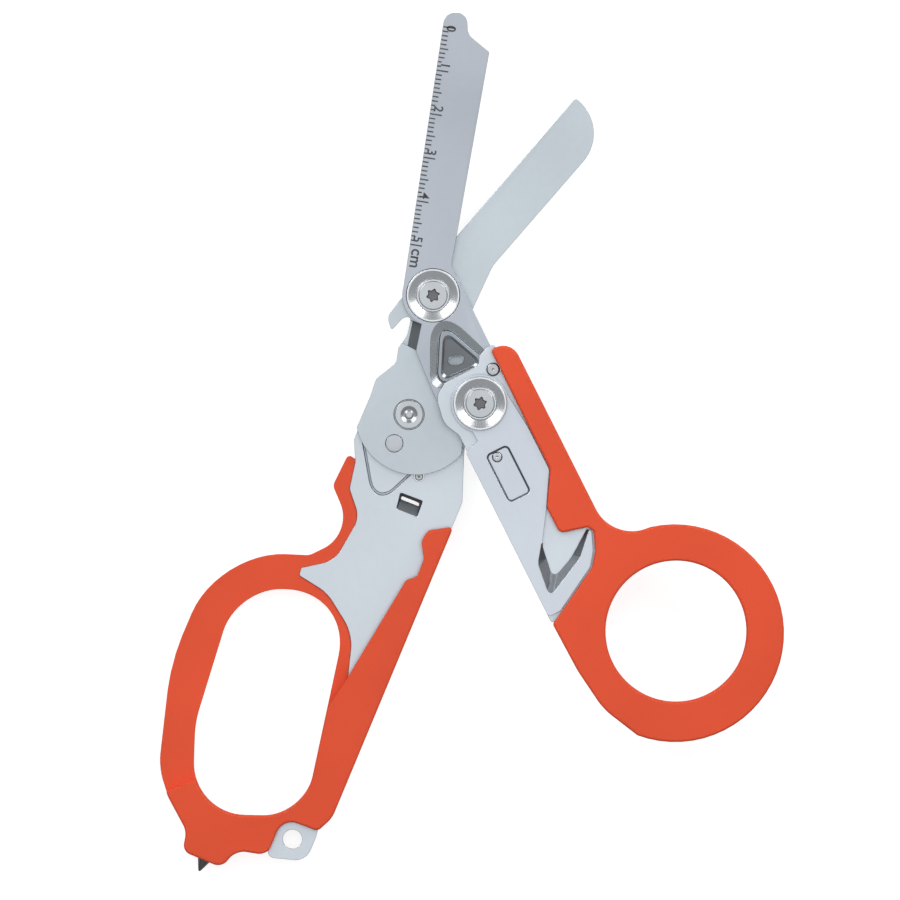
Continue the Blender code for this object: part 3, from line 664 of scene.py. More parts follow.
@dataclass(frozen=True)
class BlastedSteel:
    """Satin stainless steel, bead blasted after it was ground."""

    name: str
    colour: Corner
    drift: float = 0.05
    roughness: float = 0.36
    turn: float = 0.0

    def material(self, effects: Effects) -> bpy.types.Material:
        """Build the material.

        Args:
            effects: the shared node groups.

        Returns:
            The material.
        """
        material, shader, place = new_material(self.name)
        tree = material.node_tree
        clouds = effects.place(tree, effects.clouding, {
            "Per Metre": 28.0, "Low": shaded_colour(self.colour, 1.0 - self.drift),
            "High": shaded_colour(self.colour, 1.0 + self.drift)}, place)
        grain = effects.place(tree, effects.speckle, {"Per Metre": 9000.0, "Contrast": 1.1}, place)
        lines = effects.place(tree, effects.hairlines, {"Turn": (0.0, 0.0, math.radians(self.turn)),
                                                        "Amount": 0.25}, place)
        worn = effects.place(tree, effects.edge_wear, {"Amount": 0.5}, place)
        bright = shaded_colour(self.colour, 1.25)
        rubbed = add_node(tree, "Mix", {7: bright}, {0: worn.outputs["Mask"], 6: clouds.outputs["Color"]},
                          data_type="RGBA")
        grey = add_node(tree, "MapRange", {"To Min": 0.93, "To Max": 1.07}, {"Value": grain.outputs["Mask"]})
        toned = add_node(tree, "Mix", {0: 1.0}, {6: rubbed.outputs[2], 7: grey.outputs["Result"]},
                         data_type="RGBA", blend_type="MULTIPLY")
        rough = add_node(tree, "MapRange", {"To Min": self.roughness - 0.05, "To Max": self.roughness + 0.06},
                         {"Value": grain.outputs["Mask"]})
        smooth = add_node(tree, "Math", {1: -0.12}, {0: lines.outputs["Mask"], 2: rough.outputs["Result"]},
                          operation="MULTIPLY_ADD")
        bump = add_node(tree, "Bump", {"Strength": 0.12, "Distance": 0.00002},
                        {"Height": grain.outputs["Height"]})
        scratched = add_node(tree, "Bump", {"Strength": 0.08, "Distance": 0.00001},
                             {"Height": lines.outputs["Height"], "Normal": bump.outputs["Normal"]})
        shader.inputs["Metallic"].default_value = 1.0
        tree.links.new(toned.outputs[2], shader.inputs["Base Color"])
        tree.links.new(smooth.outputs[0], shader.inputs["Roughness"])
        tree.links.new(scratched.outputs["Normal"], shader.inputs["Normal"])
        return material


@dataclass(frozen=True)
class TurnedSteel:
    """Bright machined steel with the fine marks of its tool."""

    name: str
    colour: Corner
    roughness: float = 0.16

    def material(self, effects: Effects) -> bpy.types.Material:
        """Build the material.

        Args:
            effects: the shared node groups.

        Returns:
            The material.
        """
        material, shader, place = new_material(self.name)
        tree = material.node_tree
        clouds = effects.place(tree, effects.clouding, {
            "Per Metre": 160.0, "Low": shaded_colour(self.colour, 0.95),
            "High": shaded_colour(self.colour, 1.04)}, place)
        grain = effects.place(tree, effects.speckle, {"Per Metre": 3500.0, "Contrast": 1.2}, place)
        lines = effects.place(tree, effects.hairlines, {"Amount": 0.5}, place)
        rough = add_node(tree, "MapRange", {"To Min": self.roughness - 0.04, "To Max": self.roughness + 0.06},
                         {"Value": grain.outputs["Mask"]})
        marked = add_node(tree, "Math", {1: 0.08}, {0: lines.outputs["Mask"], 2: rough.outputs["Result"]},
                          operation="MULTIPLY_ADD")
        bump = add_node(tree, "Bump", {"Strength": 0.06, "Distance": 0.00001},
                        {"Height": grain.outputs["Height"]})
        shader.inputs["Metallic"].default_value = 1.0
        tree.links.new(clouds.outputs["Color"], shader.inputs["Base Color"])
        tree.links.new(marked.outputs[0], shader.inputs["Roughness"])
        tree.links.new(bump.outputs["Normal"], shader.inputs["Normal"])
        return material


@dataclass(frozen=True)
class MouldedNylon:
    """Glass-filled nylon from a spark-eroded mould: an even fine texture, rubbed paler on its edges."""

    name: str
    colour: Corner

    def material(self, effects: Effects) -> bpy.types.Material:
        """Build the material.

        Args:
            effects: the shared node groups.

        Returns:
            The material.
        """
        material, shader, place = new_material(self.name)
        tree = material.node_tree
        clouds = effects.place(tree, effects.clouding, {
            "Per Metre": 45.0, "Low": shaded_colour(self.colour, 0.95),
            "High": shaded_colour(self.colour, 1.04)}, place)
        grain = effects.place(tree, effects.speckle, {"Per Metre": 3200.0, "Contrast": 1.3}, place)
        worn = effects.place(tree, effects.edge_wear, {"Amount": 0.1}, place)
        pale = (*[part * 0.85 + 0.06 for part in self.colour], 1.0)
        rubbed = add_node(tree, "Mix", {7: pale}, {0: worn.outputs["Mask"], 6: clouds.outputs["Color"]},
                          data_type="RGBA")
        grey = add_node(tree, "MapRange", {"To Min": 0.95, "To Max": 1.05}, {"Value": grain.outputs["Mask"]})
        toned = add_node(tree, "Mix", {0: 1.0}, {6: rubbed.outputs[2], 7: grey.outputs["Result"]},
                         data_type="RGBA", blend_type="MULTIPLY")
        rough = add_node(tree, "MapRange", {"To Min": 0.46, "To Max": 0.6}, {"Value": grain.outputs["Mask"]})
        bump = add_node(tree, "Bump", {"Strength": 0.22, "Distance": 0.00005},
                        {"Height": grain.outputs["Height"]})
        shader.inputs["Specular IOR Level"].default_value = 0.3
        tree.links.new(toned.outputs[2], shader.inputs["Base Color"])
        tree.links.new(rough.outputs["Result"], shader.inputs["Roughness"])
        tree.links.new(bump.outputs["Normal"], shader.inputs["Normal"])
        return material


@dataclass(frozen=True)
class EtchedMark:
    """Steel that a laser has darkened."""

    name: str
    colour: Corner

    def material(self, effects: Effects) -> bpy.types.Material:
        """Build the material.

        Args:
            effects: the shared node groups.

        Returns:
            The material.
        """
        material, shader, place = new_material(self.name)
        tree = material.node_tree
        clouds = effects.place(tree, effects.clouding, {
            "Per Metre": 700.0, "Low": shaded_colour(self.colour, 0.75),
            "High": shaded_colour(self.colour, 1.35)}, place)
        grain = effects.place(tree, effects.speckle, {"Per Metre": 6000.0, "Contrast": 1.0}, place)
        rough = add_node(tree, "MapRange", {"To Min": 0.5, "To Max": 0.7}, {"Value": grain.outputs["Mask"]})
        shader.inputs["Specular IOR Level"].default_value = 0.25
        tree.links.new(clouds.outputs["Color"], shader.inputs["Base Color"])
        tree.links.new(rough.outputs["Result"], shader.inputs["Roughness"])
        return material


class Paintbox:
    """Every finish of the tool, with darker copies of steel that paint shade, made once and handed out by
    name.
    """

    def __init__(self) -> None:
        """Make the materials."""
        effects = Effects()
        finishes = (
            BlastedSteel("ruler_steel", (0.44, 0.475, 0.525), drift=0.09, turn=9.0),
            BlastedSteel("rear_steel", (0.52, 0.575, 0.615), drift=0.07, turn=41.0),
            BlastedSteel("frame_steel", (0.60, 0.65, 0.70), turn=23.0),
            BlastedSteel("cutter_steel", (0.585, 0.63, 0.69), turn=-27.0),
            BlastedSteel("small_steel", (0.50, 0.53, 0.56), roughness=0.32),
            TurnedSteel("bright_steel", (0.72, 0.745, 0.77), roughness=0.27),
            TurnedSteel("ground_steel", (0.50, 0.535, 0.57), roughness=0.26),
            TurnedSteel("screw_steel", (0.50, 0.525, 0.55), roughness=0.28),
            # A darker copy of steel for sloping ground faces: painted shade, where such slopes look dark from
            # how light falls.
            TurnedSteel("painted_shade_slope_steel", (0.22, 0.24, 0.26), roughness=0.5),
            # A darker copy of steel for the lock button's dish floor: painted shade in the dish.
            TurnedSteel("painted_shade_dish_steel", (0.17, 0.185, 0.20), roughness=0.4),
            TurnedSteel("button_steel", (0.30, 0.33, 0.36), roughness=0.24),
            # Dark carbide for the glass breaker's point; on the screws it is painted shade inside the drive
            # sockets.
            TurnedSteel("carbide", (0.16, 0.16, 0.17), roughness=0.3),
            MouldedNylon("orange_nylon", (0.88, 0.092, 0.030)),
            EtchedMark("etched_mark", (0.085, 0.09, 0.10)),
        )
        self.materials = {finish.name: finish.material(effects) for finish in finishes}

    def __getitem__(self, name: str) -> bpy.types.Material:
        """The material of a finish."""
        return self.materials[name]


def sloping(low: float, high: float) -> Callable[[Vector, Vector], bool]:
    """Says whether a face slopes and lies between two heights, as a ground face does."""
    return lambda place, normal: 0.25 < normal.z < 0.985 and low < place.z < high


def within(centre: Vector, radius: float, low: float, high: float) -> Callable[[Vector, Vector], bool]:
    """Says whether a face lies near an upright axis between two heights, as a socket's do."""
    return lambda place, normal: (place.xy - centre).length < radius and low < place.z < high


# ---------------------------------------------------------------- the bench

class Bench:
    """Finishes pieces, hangs them on their bodies and keeps a note of each."""

    def __init__(self, paints: Paintbox) -> None:
        """Keep the finishes at hand."""
        self.paints = paints

    def fit(self, item: bpy.types.Object, body: str, finish: str, nodes: list[str],
            other: str | None = None,
            where: Callable[[Vector, Vector], bool] | None = None) -> bpy.types.Object:
        """Dress a piece, hang it on its body and let it stand for its CAD nodes.

        Args:
            item: the piece, in millimetres.
            body: the body that it rides on.
            finish: the finish of its faces.
            nodes: the CAD nodes that it replaces.
            other: another finish for some of its faces.
            where: says from a face's middle, in millimetres, and its normal whether it has the other finish.

        Returns:
            The piece.
        """
        shade(item)
        item.data.materials.clear()
        item.data.materials.append(self.paints[finish])
        if other and where:
            item.data.materials.append(self.paints[other])
            for face in item.data.polygons:
                face.material_index = int(where(face.center / MM, face.normal))
        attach(item, body)
        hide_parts(*nodes)
        LOG.info("%s: %d faces on %s", item.name, len(item.data.polygons), body)
        return item

    def repaint(self, node: bpy.types.Object, finish: str) -> None:
        """Give a CAD node that keeps its shape its finish.

        Args:
            node: the CAD node.
            finish: the finish's name.
        """
        for slot in node.material_slots:
            slot.material = self.paints[finish]
        LOG.info("%s: kept, in %s", node.name, finish)


# ---------------------------------------------------------------- blades

@dataclass
class RulerBlade:
    """The front blade with its ruler, the main pivot's seat and the lock button's recess."""

    axes: Axes
    tang: Axes
    tang_length: float
    length: float = 64.6
    spine: float = -7.4
    edge: float = 3.9
    end_radius: float = 8.3
    heel_radius: float = 7.0
    seat_radius: float = 6.12
    seat_depth: float = 1.6
    recess_depth: float = 0.6
    levels: Span = field(default_factory=lambda: span("ruler_blade"))

    def outline(self) -> list[Corner]:
        """Spine, stepped tip, cutting edge and the round end at the right handle's pivot.

        Returns:
            The corners.
        """
        tip, end, side = self.length, self.tang_length + self.end_radius, self.end_radius
        blade = self.axes.corners([
            (tip - 0.8, self.spine, 2.5), (tip, self.spine + 5.0, 2.3), (tip - 4.8, self.spine + 6.0, 2.7),
            (tip - 8.0, self.edge + 0.1, 0.5), (15.0, self.edge - 0.7, 6.0), (7.4, self.edge - 0.9, 2.5),
        ])
        tang = self.tang.corners([(end, side, side), (end, -side, side),
                                  (self.tang_length - 6.0, -side - 0.5, 2.0),
                                  (10.1, -side - 0.3, 0.9)])
        return blade + tang + self.tang.arc((0.0, 0.0), self.heel_radius, -45.0, -130.0)

    def button(self) -> list[Corner]:
        """The rounded triangle of the lock button."""
        return self.tang.corners([(6.3, -0.9, 2.0), (19.5, 5.6, 2.0), (19.5, -7.5, 2.3)])

    def edge_grind(self) -> bpy.types.Object:
        """A wedge that grinds the cutting edge to a narrow slope.

        Returns:
            The tool.
        """
        top = self.levels[1]
        tip = self.length - 8.0
        low = self.axes.corners([(tip + 1.0, self.edge + 0.1, 0.0), (tip + 1.0, self.edge + 1.2, 0.0),
                                 (16.0, self.edge + 0.5, 0.0), (16.0, self.edge - 0.72, 0.0)])
        high = self.axes.corners([(tip + 1.0, self.edge - 0.75, 0.0), (tip + 1.0, self.edge + 1.2, 0.0),
                                  (16.0, self.edge + 0.5, 0.0), (16.0, self.edge - 1.5, 0.0)])
        return taper("grind", low, high, (top - 0.07, top + SKIM))

    def build(self) -> bpy.types.Object:
        """Cut the blade from its blank.

        Returns:
            The blade.
        """
        low, top = self.levels
        pivot, far = self.axes.origin, self.tang.at(self.tang_length)
        blade = plate("ruler_blade_steel", self.outline(), self.levels)
        window = grown(self.button(), FIT_GAP)
        mouth = self.tang.corners([(0.1, -0.9, 4.8), (18.6, 7.0, 2.3), (21.2, -10.0, 3.2)])
        cut(blade, self.edge_grind(),
            drum("seat", pivot, self.seat_radius, (top - self.seat_depth, top + CLEAR)),
            hole(pivot, PIVOT_BORE, self.levels), hole(far, PIVOT_BORE, self.levels),
            drum("nut_seat", far, NUT_RADIUS, (low - CLEAR, low + NUT_DEPTH)),
            plate("well", grown(self.button(), 1.1), (low - CLEAR, top - self.recess_depth - 0.2)),
            plate("window", window, (low, top + CLEAR)),
            taper("recess", window, mouth, (top - self.recess_depth, top + SKIM)))
        soften(blade, 0.07, sharper_than=14.0)
        return blade

    def dress(self, bench: Bench) -> None:
        """Finish the blade, its recess ground bright.

        Args:
            bench: where the pieces are finished.
        """
        top = self.levels[1]
        bench.fit(self.build(), "ruler_blade", "ruler_steel", ["ruler_blade"], "ground_steel",
                  sloping(top - self.recess_depth - 0.05, top))


@dataclass
class RulerMarks:
    """The laser-etched centimetre ruler along the front blade's spine."""

    blade: RulerBlade
    zero: float = 60.65
    centimetres: int = 5
    line: float = 0.32
    figure: float = 2.9
    letters: float = 3.7
    figure_across: float = -6.35
    proud: float = 0.02

    def spine_at(self, along: float) -> float:
        """Where the spine lies across the blade."""
        return self.blade.spine + 0.4 * (1.0 - along / self.blade.length)

    def reach_of(self, step: int) -> float:
        """The length of a line: long at centimetres, middling at halves, short between.

        Args:
            step: which line, counted from the zero.

        Returns:
            The length.
        """
        if step % 10 == 0:
            return 2.7
        if step % 10 >= 8:
            return 0.85
        return 1.9 if step % 5 == 0 else 1.35

    def add_line(self, shape: bmesh.types.BMesh, step: int) -> None:
        """Add one line of the ruler.

        Args:
            shape: the bmesh of the marks.
            step: which line, counted from the zero.
        """
        axes = self.blade.axes
        along = self.zero - step
        start = self.spine_at(along) + 0.12
        reach = self.reach_of(step)
        centre = axes.at(along, start + reach / 2.0)
        cube = bmesh.ops.create_cube(shape, size=1.0)
        bmesh.ops.scale(shape, verts=cube["verts"], vec=(reach, self.line, 2.0 * self.proud))
        turn = Matrix.Rotation(math.atan2(axes.across.y, axes.across.x), 4, "Z")
        place = Matrix.Translation((centre.x, centre.y, self.blade.levels[1]))
        bmesh.ops.transform(shape, verts=cube["verts"], matrix=place @ turn)

    def add_words(self, shape: bmesh.types.BMesh, words: str, along: float, size: float) -> None:
        """Add figures or letters that read down the blade, centred at a place along it.

        Args:
            shape: the bmesh of the marks.
            words: what to write.
            along: where the middle of the words is.
            size: the size of the letters.
        """
        axes = self.blade.axes
        curve = bpy.data.curves.new("figure", "FONT")
        curve.body = words
        curve.size = size
        curve.align_x = "CENTER"
        curve.extrude = self.proud
        curve.offset = 0.05
        text = bpy.data.objects.new("figure", curve)
        bpy.context.scene.collection.objects.link(text)
        mesh = bpy.data.meshes.new_from_object(text.evaluated_get(bpy.context.evaluated_depsgraph_get()))
        bpy.data.objects.remove(text)
        place = axes.at(along, self.figure_across)
        turn = Matrix(((-axes.along.x, axes.across.x, 0.0, place.x),
                       (-axes.along.y, axes.across.y, 0.0, place.y),
                       (0.0, 0.0, 1.0, self.blade.levels[1]), (0.0, 0.0, 0.0, 1.0)))
        mesh.transform(turn)
        shape.from_mesh(mesh)
        bpy.data.meshes.remove(mesh)

    def dress(self, bench: Bench) -> None:
        """Etch the ruler.

        Args:
            bench: where the pieces are finished.
        """
        shape = bmesh.new()
        for step in range(10 * self.centimetres + 1):
            self.add_line(shape, step)
        for number in range(self.centimetres + 1):
            beside = self.zero - 10.0 * number + (1.35 if number else -0.2)
            self.add_words(shape, str(number), beside, self.figure)
        self.add_words(shape, "cm", self.zero - 10.0 * self.centimetres - 3.0, self.letters)
        marks = to_object("ruler_marks", shape)
        marks.data.transform(Matrix.Scale(MM, 4))
        marks.data.materials.clear()
        marks.data.materials.append(bench.paints["etched_mark"])
        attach(marks, "ruler_blade")
        LOG.info("ruler_marks: %d faces", len(marks.data.polygons))


@dataclass
class LockButton:
    """The dished button with its raised rim and a plain oval pad."""

    blade: RulerBlade
    rim: float = 1.0
    dish: float = 0.4
    pad_size: Span = (1.9, 1.25)
    levels: Span = field(default_factory=lambda: span("right_lock_button"))

    def build(self) -> bpy.types.Object:
        """Cut the button from its blank, with a flange below and a dish on top.

        Returns:
            The button.
        """
        low, top = self.levels
        outline = self.blade.button()
        button = plate("lock_button_steel", outline, self.levels)
        cut(button, plate("flange", grown(outline, 0.8), (low, low + 0.3)), operation="UNION")
        floor = [(x, y, 1.2) for x, y, _ in grown(outline, -self.rim - 0.3)]
        mouth = [(x, y, 1.5) for x, y, _ in grown(outline, -self.rim + 0.25)]
        cut(button, taper("dish", floor, mouth, (top - self.dish, top + SKIM)))
        soften(button, 0.14, segments=3, sharper_than=18.0)
        return button

    def pad(self) -> bpy.types.Object:
        """The low oval pad in the dish, with a raised edge.

        Returns:
            The pad.
        """
        top = self.levels[1] - self.dish
        profile = [(0.0, -0.1), (1.0, -0.1), (1.0, 0.12), (0.94, 0.2), (0.82, 0.2), (0.74, 0.1), (0.0, 0.08)]
        pad = turned("lock_button_pad", profile, Vector((0.0, 0.0)), 0.0)
        turn = math.atan2(self.blade.tang.along.y, self.blade.tang.along.x)
        centre = self.blade.tang.at(15.6, -1.1)
        pad.data.transform(Matrix.Translation((centre.x, centre.y, top))
                           @ Matrix.Rotation(turn + math.radians(75.0), 4, "Z")
                           @ Matrix.Diagonal((self.pad_size[0], self.pad_size[1], 1.0, 1.0)))
        return pad

    def dress(self, bench: Bench) -> None:
        """Finish the button and its pad.

        Args:
            bench: where the pieces are finished.
        """
        floor = self.levels[1] - self.dish
        # The dish floor takes a darker copy of steel: painted shade in the dish.
        bench.fit(self.build(), "lock_button", "button_steel", ["right_lock_button"], "painted_shade_dish_steel",
                  within(middle("right_lock_button"), 20.0, floor - 0.05, floor + 0.02))
        pad = self.pad()
        shade(pad)
        pad.data.materials.clear()
        pad.data.materials.append(bench.paints["button_steel"])
        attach(pad, "lock_button")


@dataclass
class RearBlade:
    """The rear blade with its ring-cutter hook and the disc that the left handle turns on."""

    axes: Axes
    tang: Axes
    tang_length: float
    length: float = 55.2
    spine: float = 5.8
    edge: float = -5.0
    disc_radius: float = 13.8
    heel_radius: float = 6.8
    rivet_radius: float = 2.0
    levels: Span = field(default_factory=lambda: span("rear_blade"))

    def outline(self) -> list[Corner]:
        """Cutting edge, round tip, spine, neck, disc, hook and heel.

        Returns:
            The corners.
        """
        tip, base = self.length, self.tang_length
        blade = self.axes.corners([(tip, self.edge, 0.8), (tip, self.spine, 9.8), (14.0, self.spine, 8.0)])
        neck = self.tang.corners([(2.0, 9.3, 5.0), (14.0, 8.3, 6.0), (base, 12.8, 3.0)])
        disc = self.tang.arc((base - 0.4, 1.5), self.disc_radius, 60.0, -66.0)
        hook = self.tang.corners([
            (base - 2.3, -9.5, 4.0), (base - 6.5, -9.0, 1.5), (16.6, -5.2, 1.8), (13.2, -5.4, 1.0),
            (10.0, -4.0, 1.5), (5.0, -3.8, 1.0), (6.6, -5.9, 1.5), (9.7, -7.7, 0.4), (6.8, -9.3, 2.2),
        ])
        return blade + neck + disc + hook + self.tang.arc((0.0, 0.0), self.heel_radius, -78.0, -166.0)

    def hook_grind(self) -> bpy.types.Object:
        """A wedge that hollows the hook's sharpened side.

        Returns:
            The tool.
        """
        top = self.levels[1]
        high = self.tang.corners([(7.0, -1.1, 0.0), (13.0, -1.2, 0.0), (11.8, -5.2, 0.0), (6.1, -5.2, 0.0)])
        low = self.tang.corners([(6.7, -3.4, 0.0), (12.3, -3.5, 0.0), (11.8, -5.2, 0.0), (6.1, -5.2, 0.0)])
        return taper("hook_grind", low, high, (top - 1.9, top + 0.02))

    def edge_grind(self) -> bpy.types.Object:
        """A wedge that grinds the cutting edge.

        Returns:
            The tool.
        """
        top, tip = self.levels[1], self.length
        low = self.axes.corners([(tip - 1.0, self.edge, 0.0), (tip - 1.0, self.edge - 1.0, 0.0),
                                 (8.0, self.edge - 1.0, 0.0), (8.0, self.edge, 0.0)])
        high = self.axes.corners([(tip - 1.4, self.edge + 0.5, 0.0), (tip - 1.0, self.edge - 1.0, 0.0),
                                  (8.0, self.edge - 1.0, 0.0), (8.0, self.edge + 0.5, 0.0)])
        return taper("grind", low, high, (top - 0.05, top + SKIM))

    def rivet_place(self) -> Vector:
        """Where the stop rivet stands in the disc."""
        return middle("rear_blade_stop_rivet")

    def dress(self, bench: Bench) -> None:
        """Finish the blade and its rivet.

        Args:
            bench: where the pieces are finished.
        """
        low, top = self.levels
        far = self.tang.at(self.tang_length)
        blade = plate("rear_blade_steel", self.outline(), self.levels)
        cut(blade, self.edge_grind(), self.hook_grind(),
            hole(self.axes.origin, PIVOT_BORE, self.levels),
            hole(far, PIVOT_BORE, self.levels),
            drum("nut_seat", self.axes.origin, NUT_RADIUS, (low - CLEAR, low + NUT_DEPTH)),
            drum("nut_seat", far, NUT_RADIUS, (top - NUT_DEPTH, top + CLEAR)),
            hole(self.rivet_place(), self.rivet_radius + 0.04, self.levels))
        soften(blade, 0.07, sharper_than=14.0)
        # The hook's ground slope takes a darker copy of steel: painted shade on the slope.
        bench.fit(blade, "rear_blade", "rear_steel", ["rear_blade"], "painted_shade_slope_steel",
                  sloping(top - 1.7, top - 0.1))
        radius = self.rivet_radius
        profile = [(0.0, low), (radius, low), (radius, top - 0.12), (radius - 0.12, top - 0.03),
                   (radius * 0.5, top), (0.0, top)]
        rivet = turned("stop_rivet_steel", profile, self.rivet_place(), 0.0)
        bench.fit(rivet, "rear_blade", "small_steel", ["rear_blade_stop_rivet"])


# ---------------------------------------------------------------- pivots

@dataclass
class PivotScrew:
    """A dished washer and the star-drive screw that sits in it."""

    washer: str
    screw: str
    body: str
    side: float = 1.0
    radius: float = 6.06
    thickness: float = 1.4
    head_radius: float = 3.25
    drive_radius: float = 1.75
    drive_depth: float = 1.0
    bore: float = 2.6
    shank: float = 1.4

    def washer_profile(self) -> list[Span]:
        """The washer's rim, slope and floor.

        Returns:
            Its points (radius, rise).
        """
        top = self.thickness
        return [
            (self.bore, 0.0), (self.radius, 0.0), (self.radius, top - 0.12), (self.radius - 0.05, top - 0.03),
            (self.radius - 0.14, top), (self.radius - 0.42, top), (self.radius - 0.52, top - 0.05),
            (self.head_radius + 0.42, 0.46), (self.head_radius + 0.3, 0.4), (self.bore, 0.4),
        ]

    def drive(self, centre: Vector, levels: Span) -> bpy.types.Object:
        """A tool for the socket: six lobes in a screw that faces up, a hexagon in one that faces down.

        Args:
            centre: the screw's middle.
            levels: the socket's lower and upper level.

        Returns:
            The tool.
        """
        if self.side < 0.0:
            return drum("drive", centre, self.drive_radius * 0.9, levels, 6)
        corners = []
        for index in range(12):
            angle = math.pi * (index + 0.5) / 6.0
            radius = self.drive_radius * (1.0 if index % 2 == 0 else 0.62)
            corners.append((centre.x + radius * math.cos(angle), centre.y + radius * math.sin(angle), 0.28))
        low = [(centre.x + (x - centre.x) * 0.86, centre.y + (y - centre.y) * 0.86, radius * 0.8)
               for x, y, radius in corners]
        return taper("drive", low, corners, levels)

    def screw_profile(self, length: float, head: float) -> list[Span]:
        """The head, with a chamfered rim, and the shank below it; rise 0 is the shank's end.

        Args:
            length: the rise of the head's underside.
            head: the rise of the head's face.

        Returns:
            Its points (radius, rise).
        """
        rim = self.head_radius
        return [(0.0, 0.0), (self.shank, 0.0), (self.shank, length), (rim, length), (rim, head - 0.16),
                (rim - 0.07, head - 0.05), (rim - 0.2, head), (0.0, head)]

    def dress(self, bench: Bench) -> None:
        """Turn and finish the washer and the screw.

        Args:
            bench: where the pieces are finished.
        """
        centre = middle(self.washer)
        low, top = span(self.washer)
        base = low if self.side > 0.0 else top
        washer = turned(f"{self.washer}_turned", self.washer_profile(), centre, base, self.side)
        bench.fit(washer, self.body, "bright_steel", [self.washer])
        foot, crown = span(self.screw)
        if self.side < 0.0:
            foot, crown = crown, foot
        height = abs(crown - foot)
        screw = turned(f"{self.screw}_turned", self.screw_profile(height - 0.6, height), centre, foot,
                       self.side)
        depth = sorted((crown - self.side * self.drive_depth, crown + self.side * 0.02))
        cut(screw, self.drive(centre, (depth[0], depth[1])))
        soften(screw, 0.04, sharper_than=40.0)
        # The drive socket's walls and floor take the dark carbide material: painted shade inside the socket.
        bench.fit(screw, self.body, "screw_steel", [self.screw], "carbide",
                  within(centre, self.drive_radius, depth[0] - 0.1, crown - self.side * 0.12))


@dataclass
class DimpledNut:
    """The left pivot's barrel nut, whose flush face has a countersunk dimple."""

    node: str = "left_pivot_nut"
    flange: float = 3.2
    sleeve: float = 2.4
    bore: float = 1.6

    def dress(self, bench: Bench) -> None:
        """Turn and finish the nut.

        Args:
            bench: where the pieces are finished.
        """
        low, top = span(self.node)
        skin = top - 0.54
        profile = [
            (0.0, skin), (self.bore, skin), (self.bore, low), (self.sleeve, low), (self.sleeve, top - 0.9),
            (self.flange, top - 0.9), (self.flange, top - 0.1), (self.flange - 0.06, top - 0.02),
            (self.flange - 0.15, top), (2.0, top), (1.86, top - 0.05), (1.2, top - 0.42), (1.05, top - 0.44),
            (0.98, top - 0.3), (0.86, top - 0.2), (0.6, top - 0.15), (0.0, top - 0.13),
        ]
        nut = turned("left_pivot_nut_turned", profile, middle(self.node), 0.0)
        bench.fit(nut, "left_handle", "screw_steel", [self.node])


@dataclass
class DimpledPin:
    """A pin with a chamfered head and a small centre mark."""

    node: str
    body: str
    radius: float

    def dress(self, bench: Bench) -> None:
        """Turn and finish the pin.

        Args:
            bench: where the pieces are finished.
        """
        low, top = span(self.node)
        edge = self.radius
        profile = [(0.0, low), (edge, low), (edge, top - 0.22), (edge - 0.08, top - 0.08), (edge - 0.24, top),
                   (0.34, top), (0.26, top - 0.06), (0.0, top - 0.22)]
        bench.fit(turned(f"{self.node}_turned", profile, middle(self.node), 0.0), self.body, "screw_steel",
                  [self.node])


# ---------------------------------------------------------------- left handle

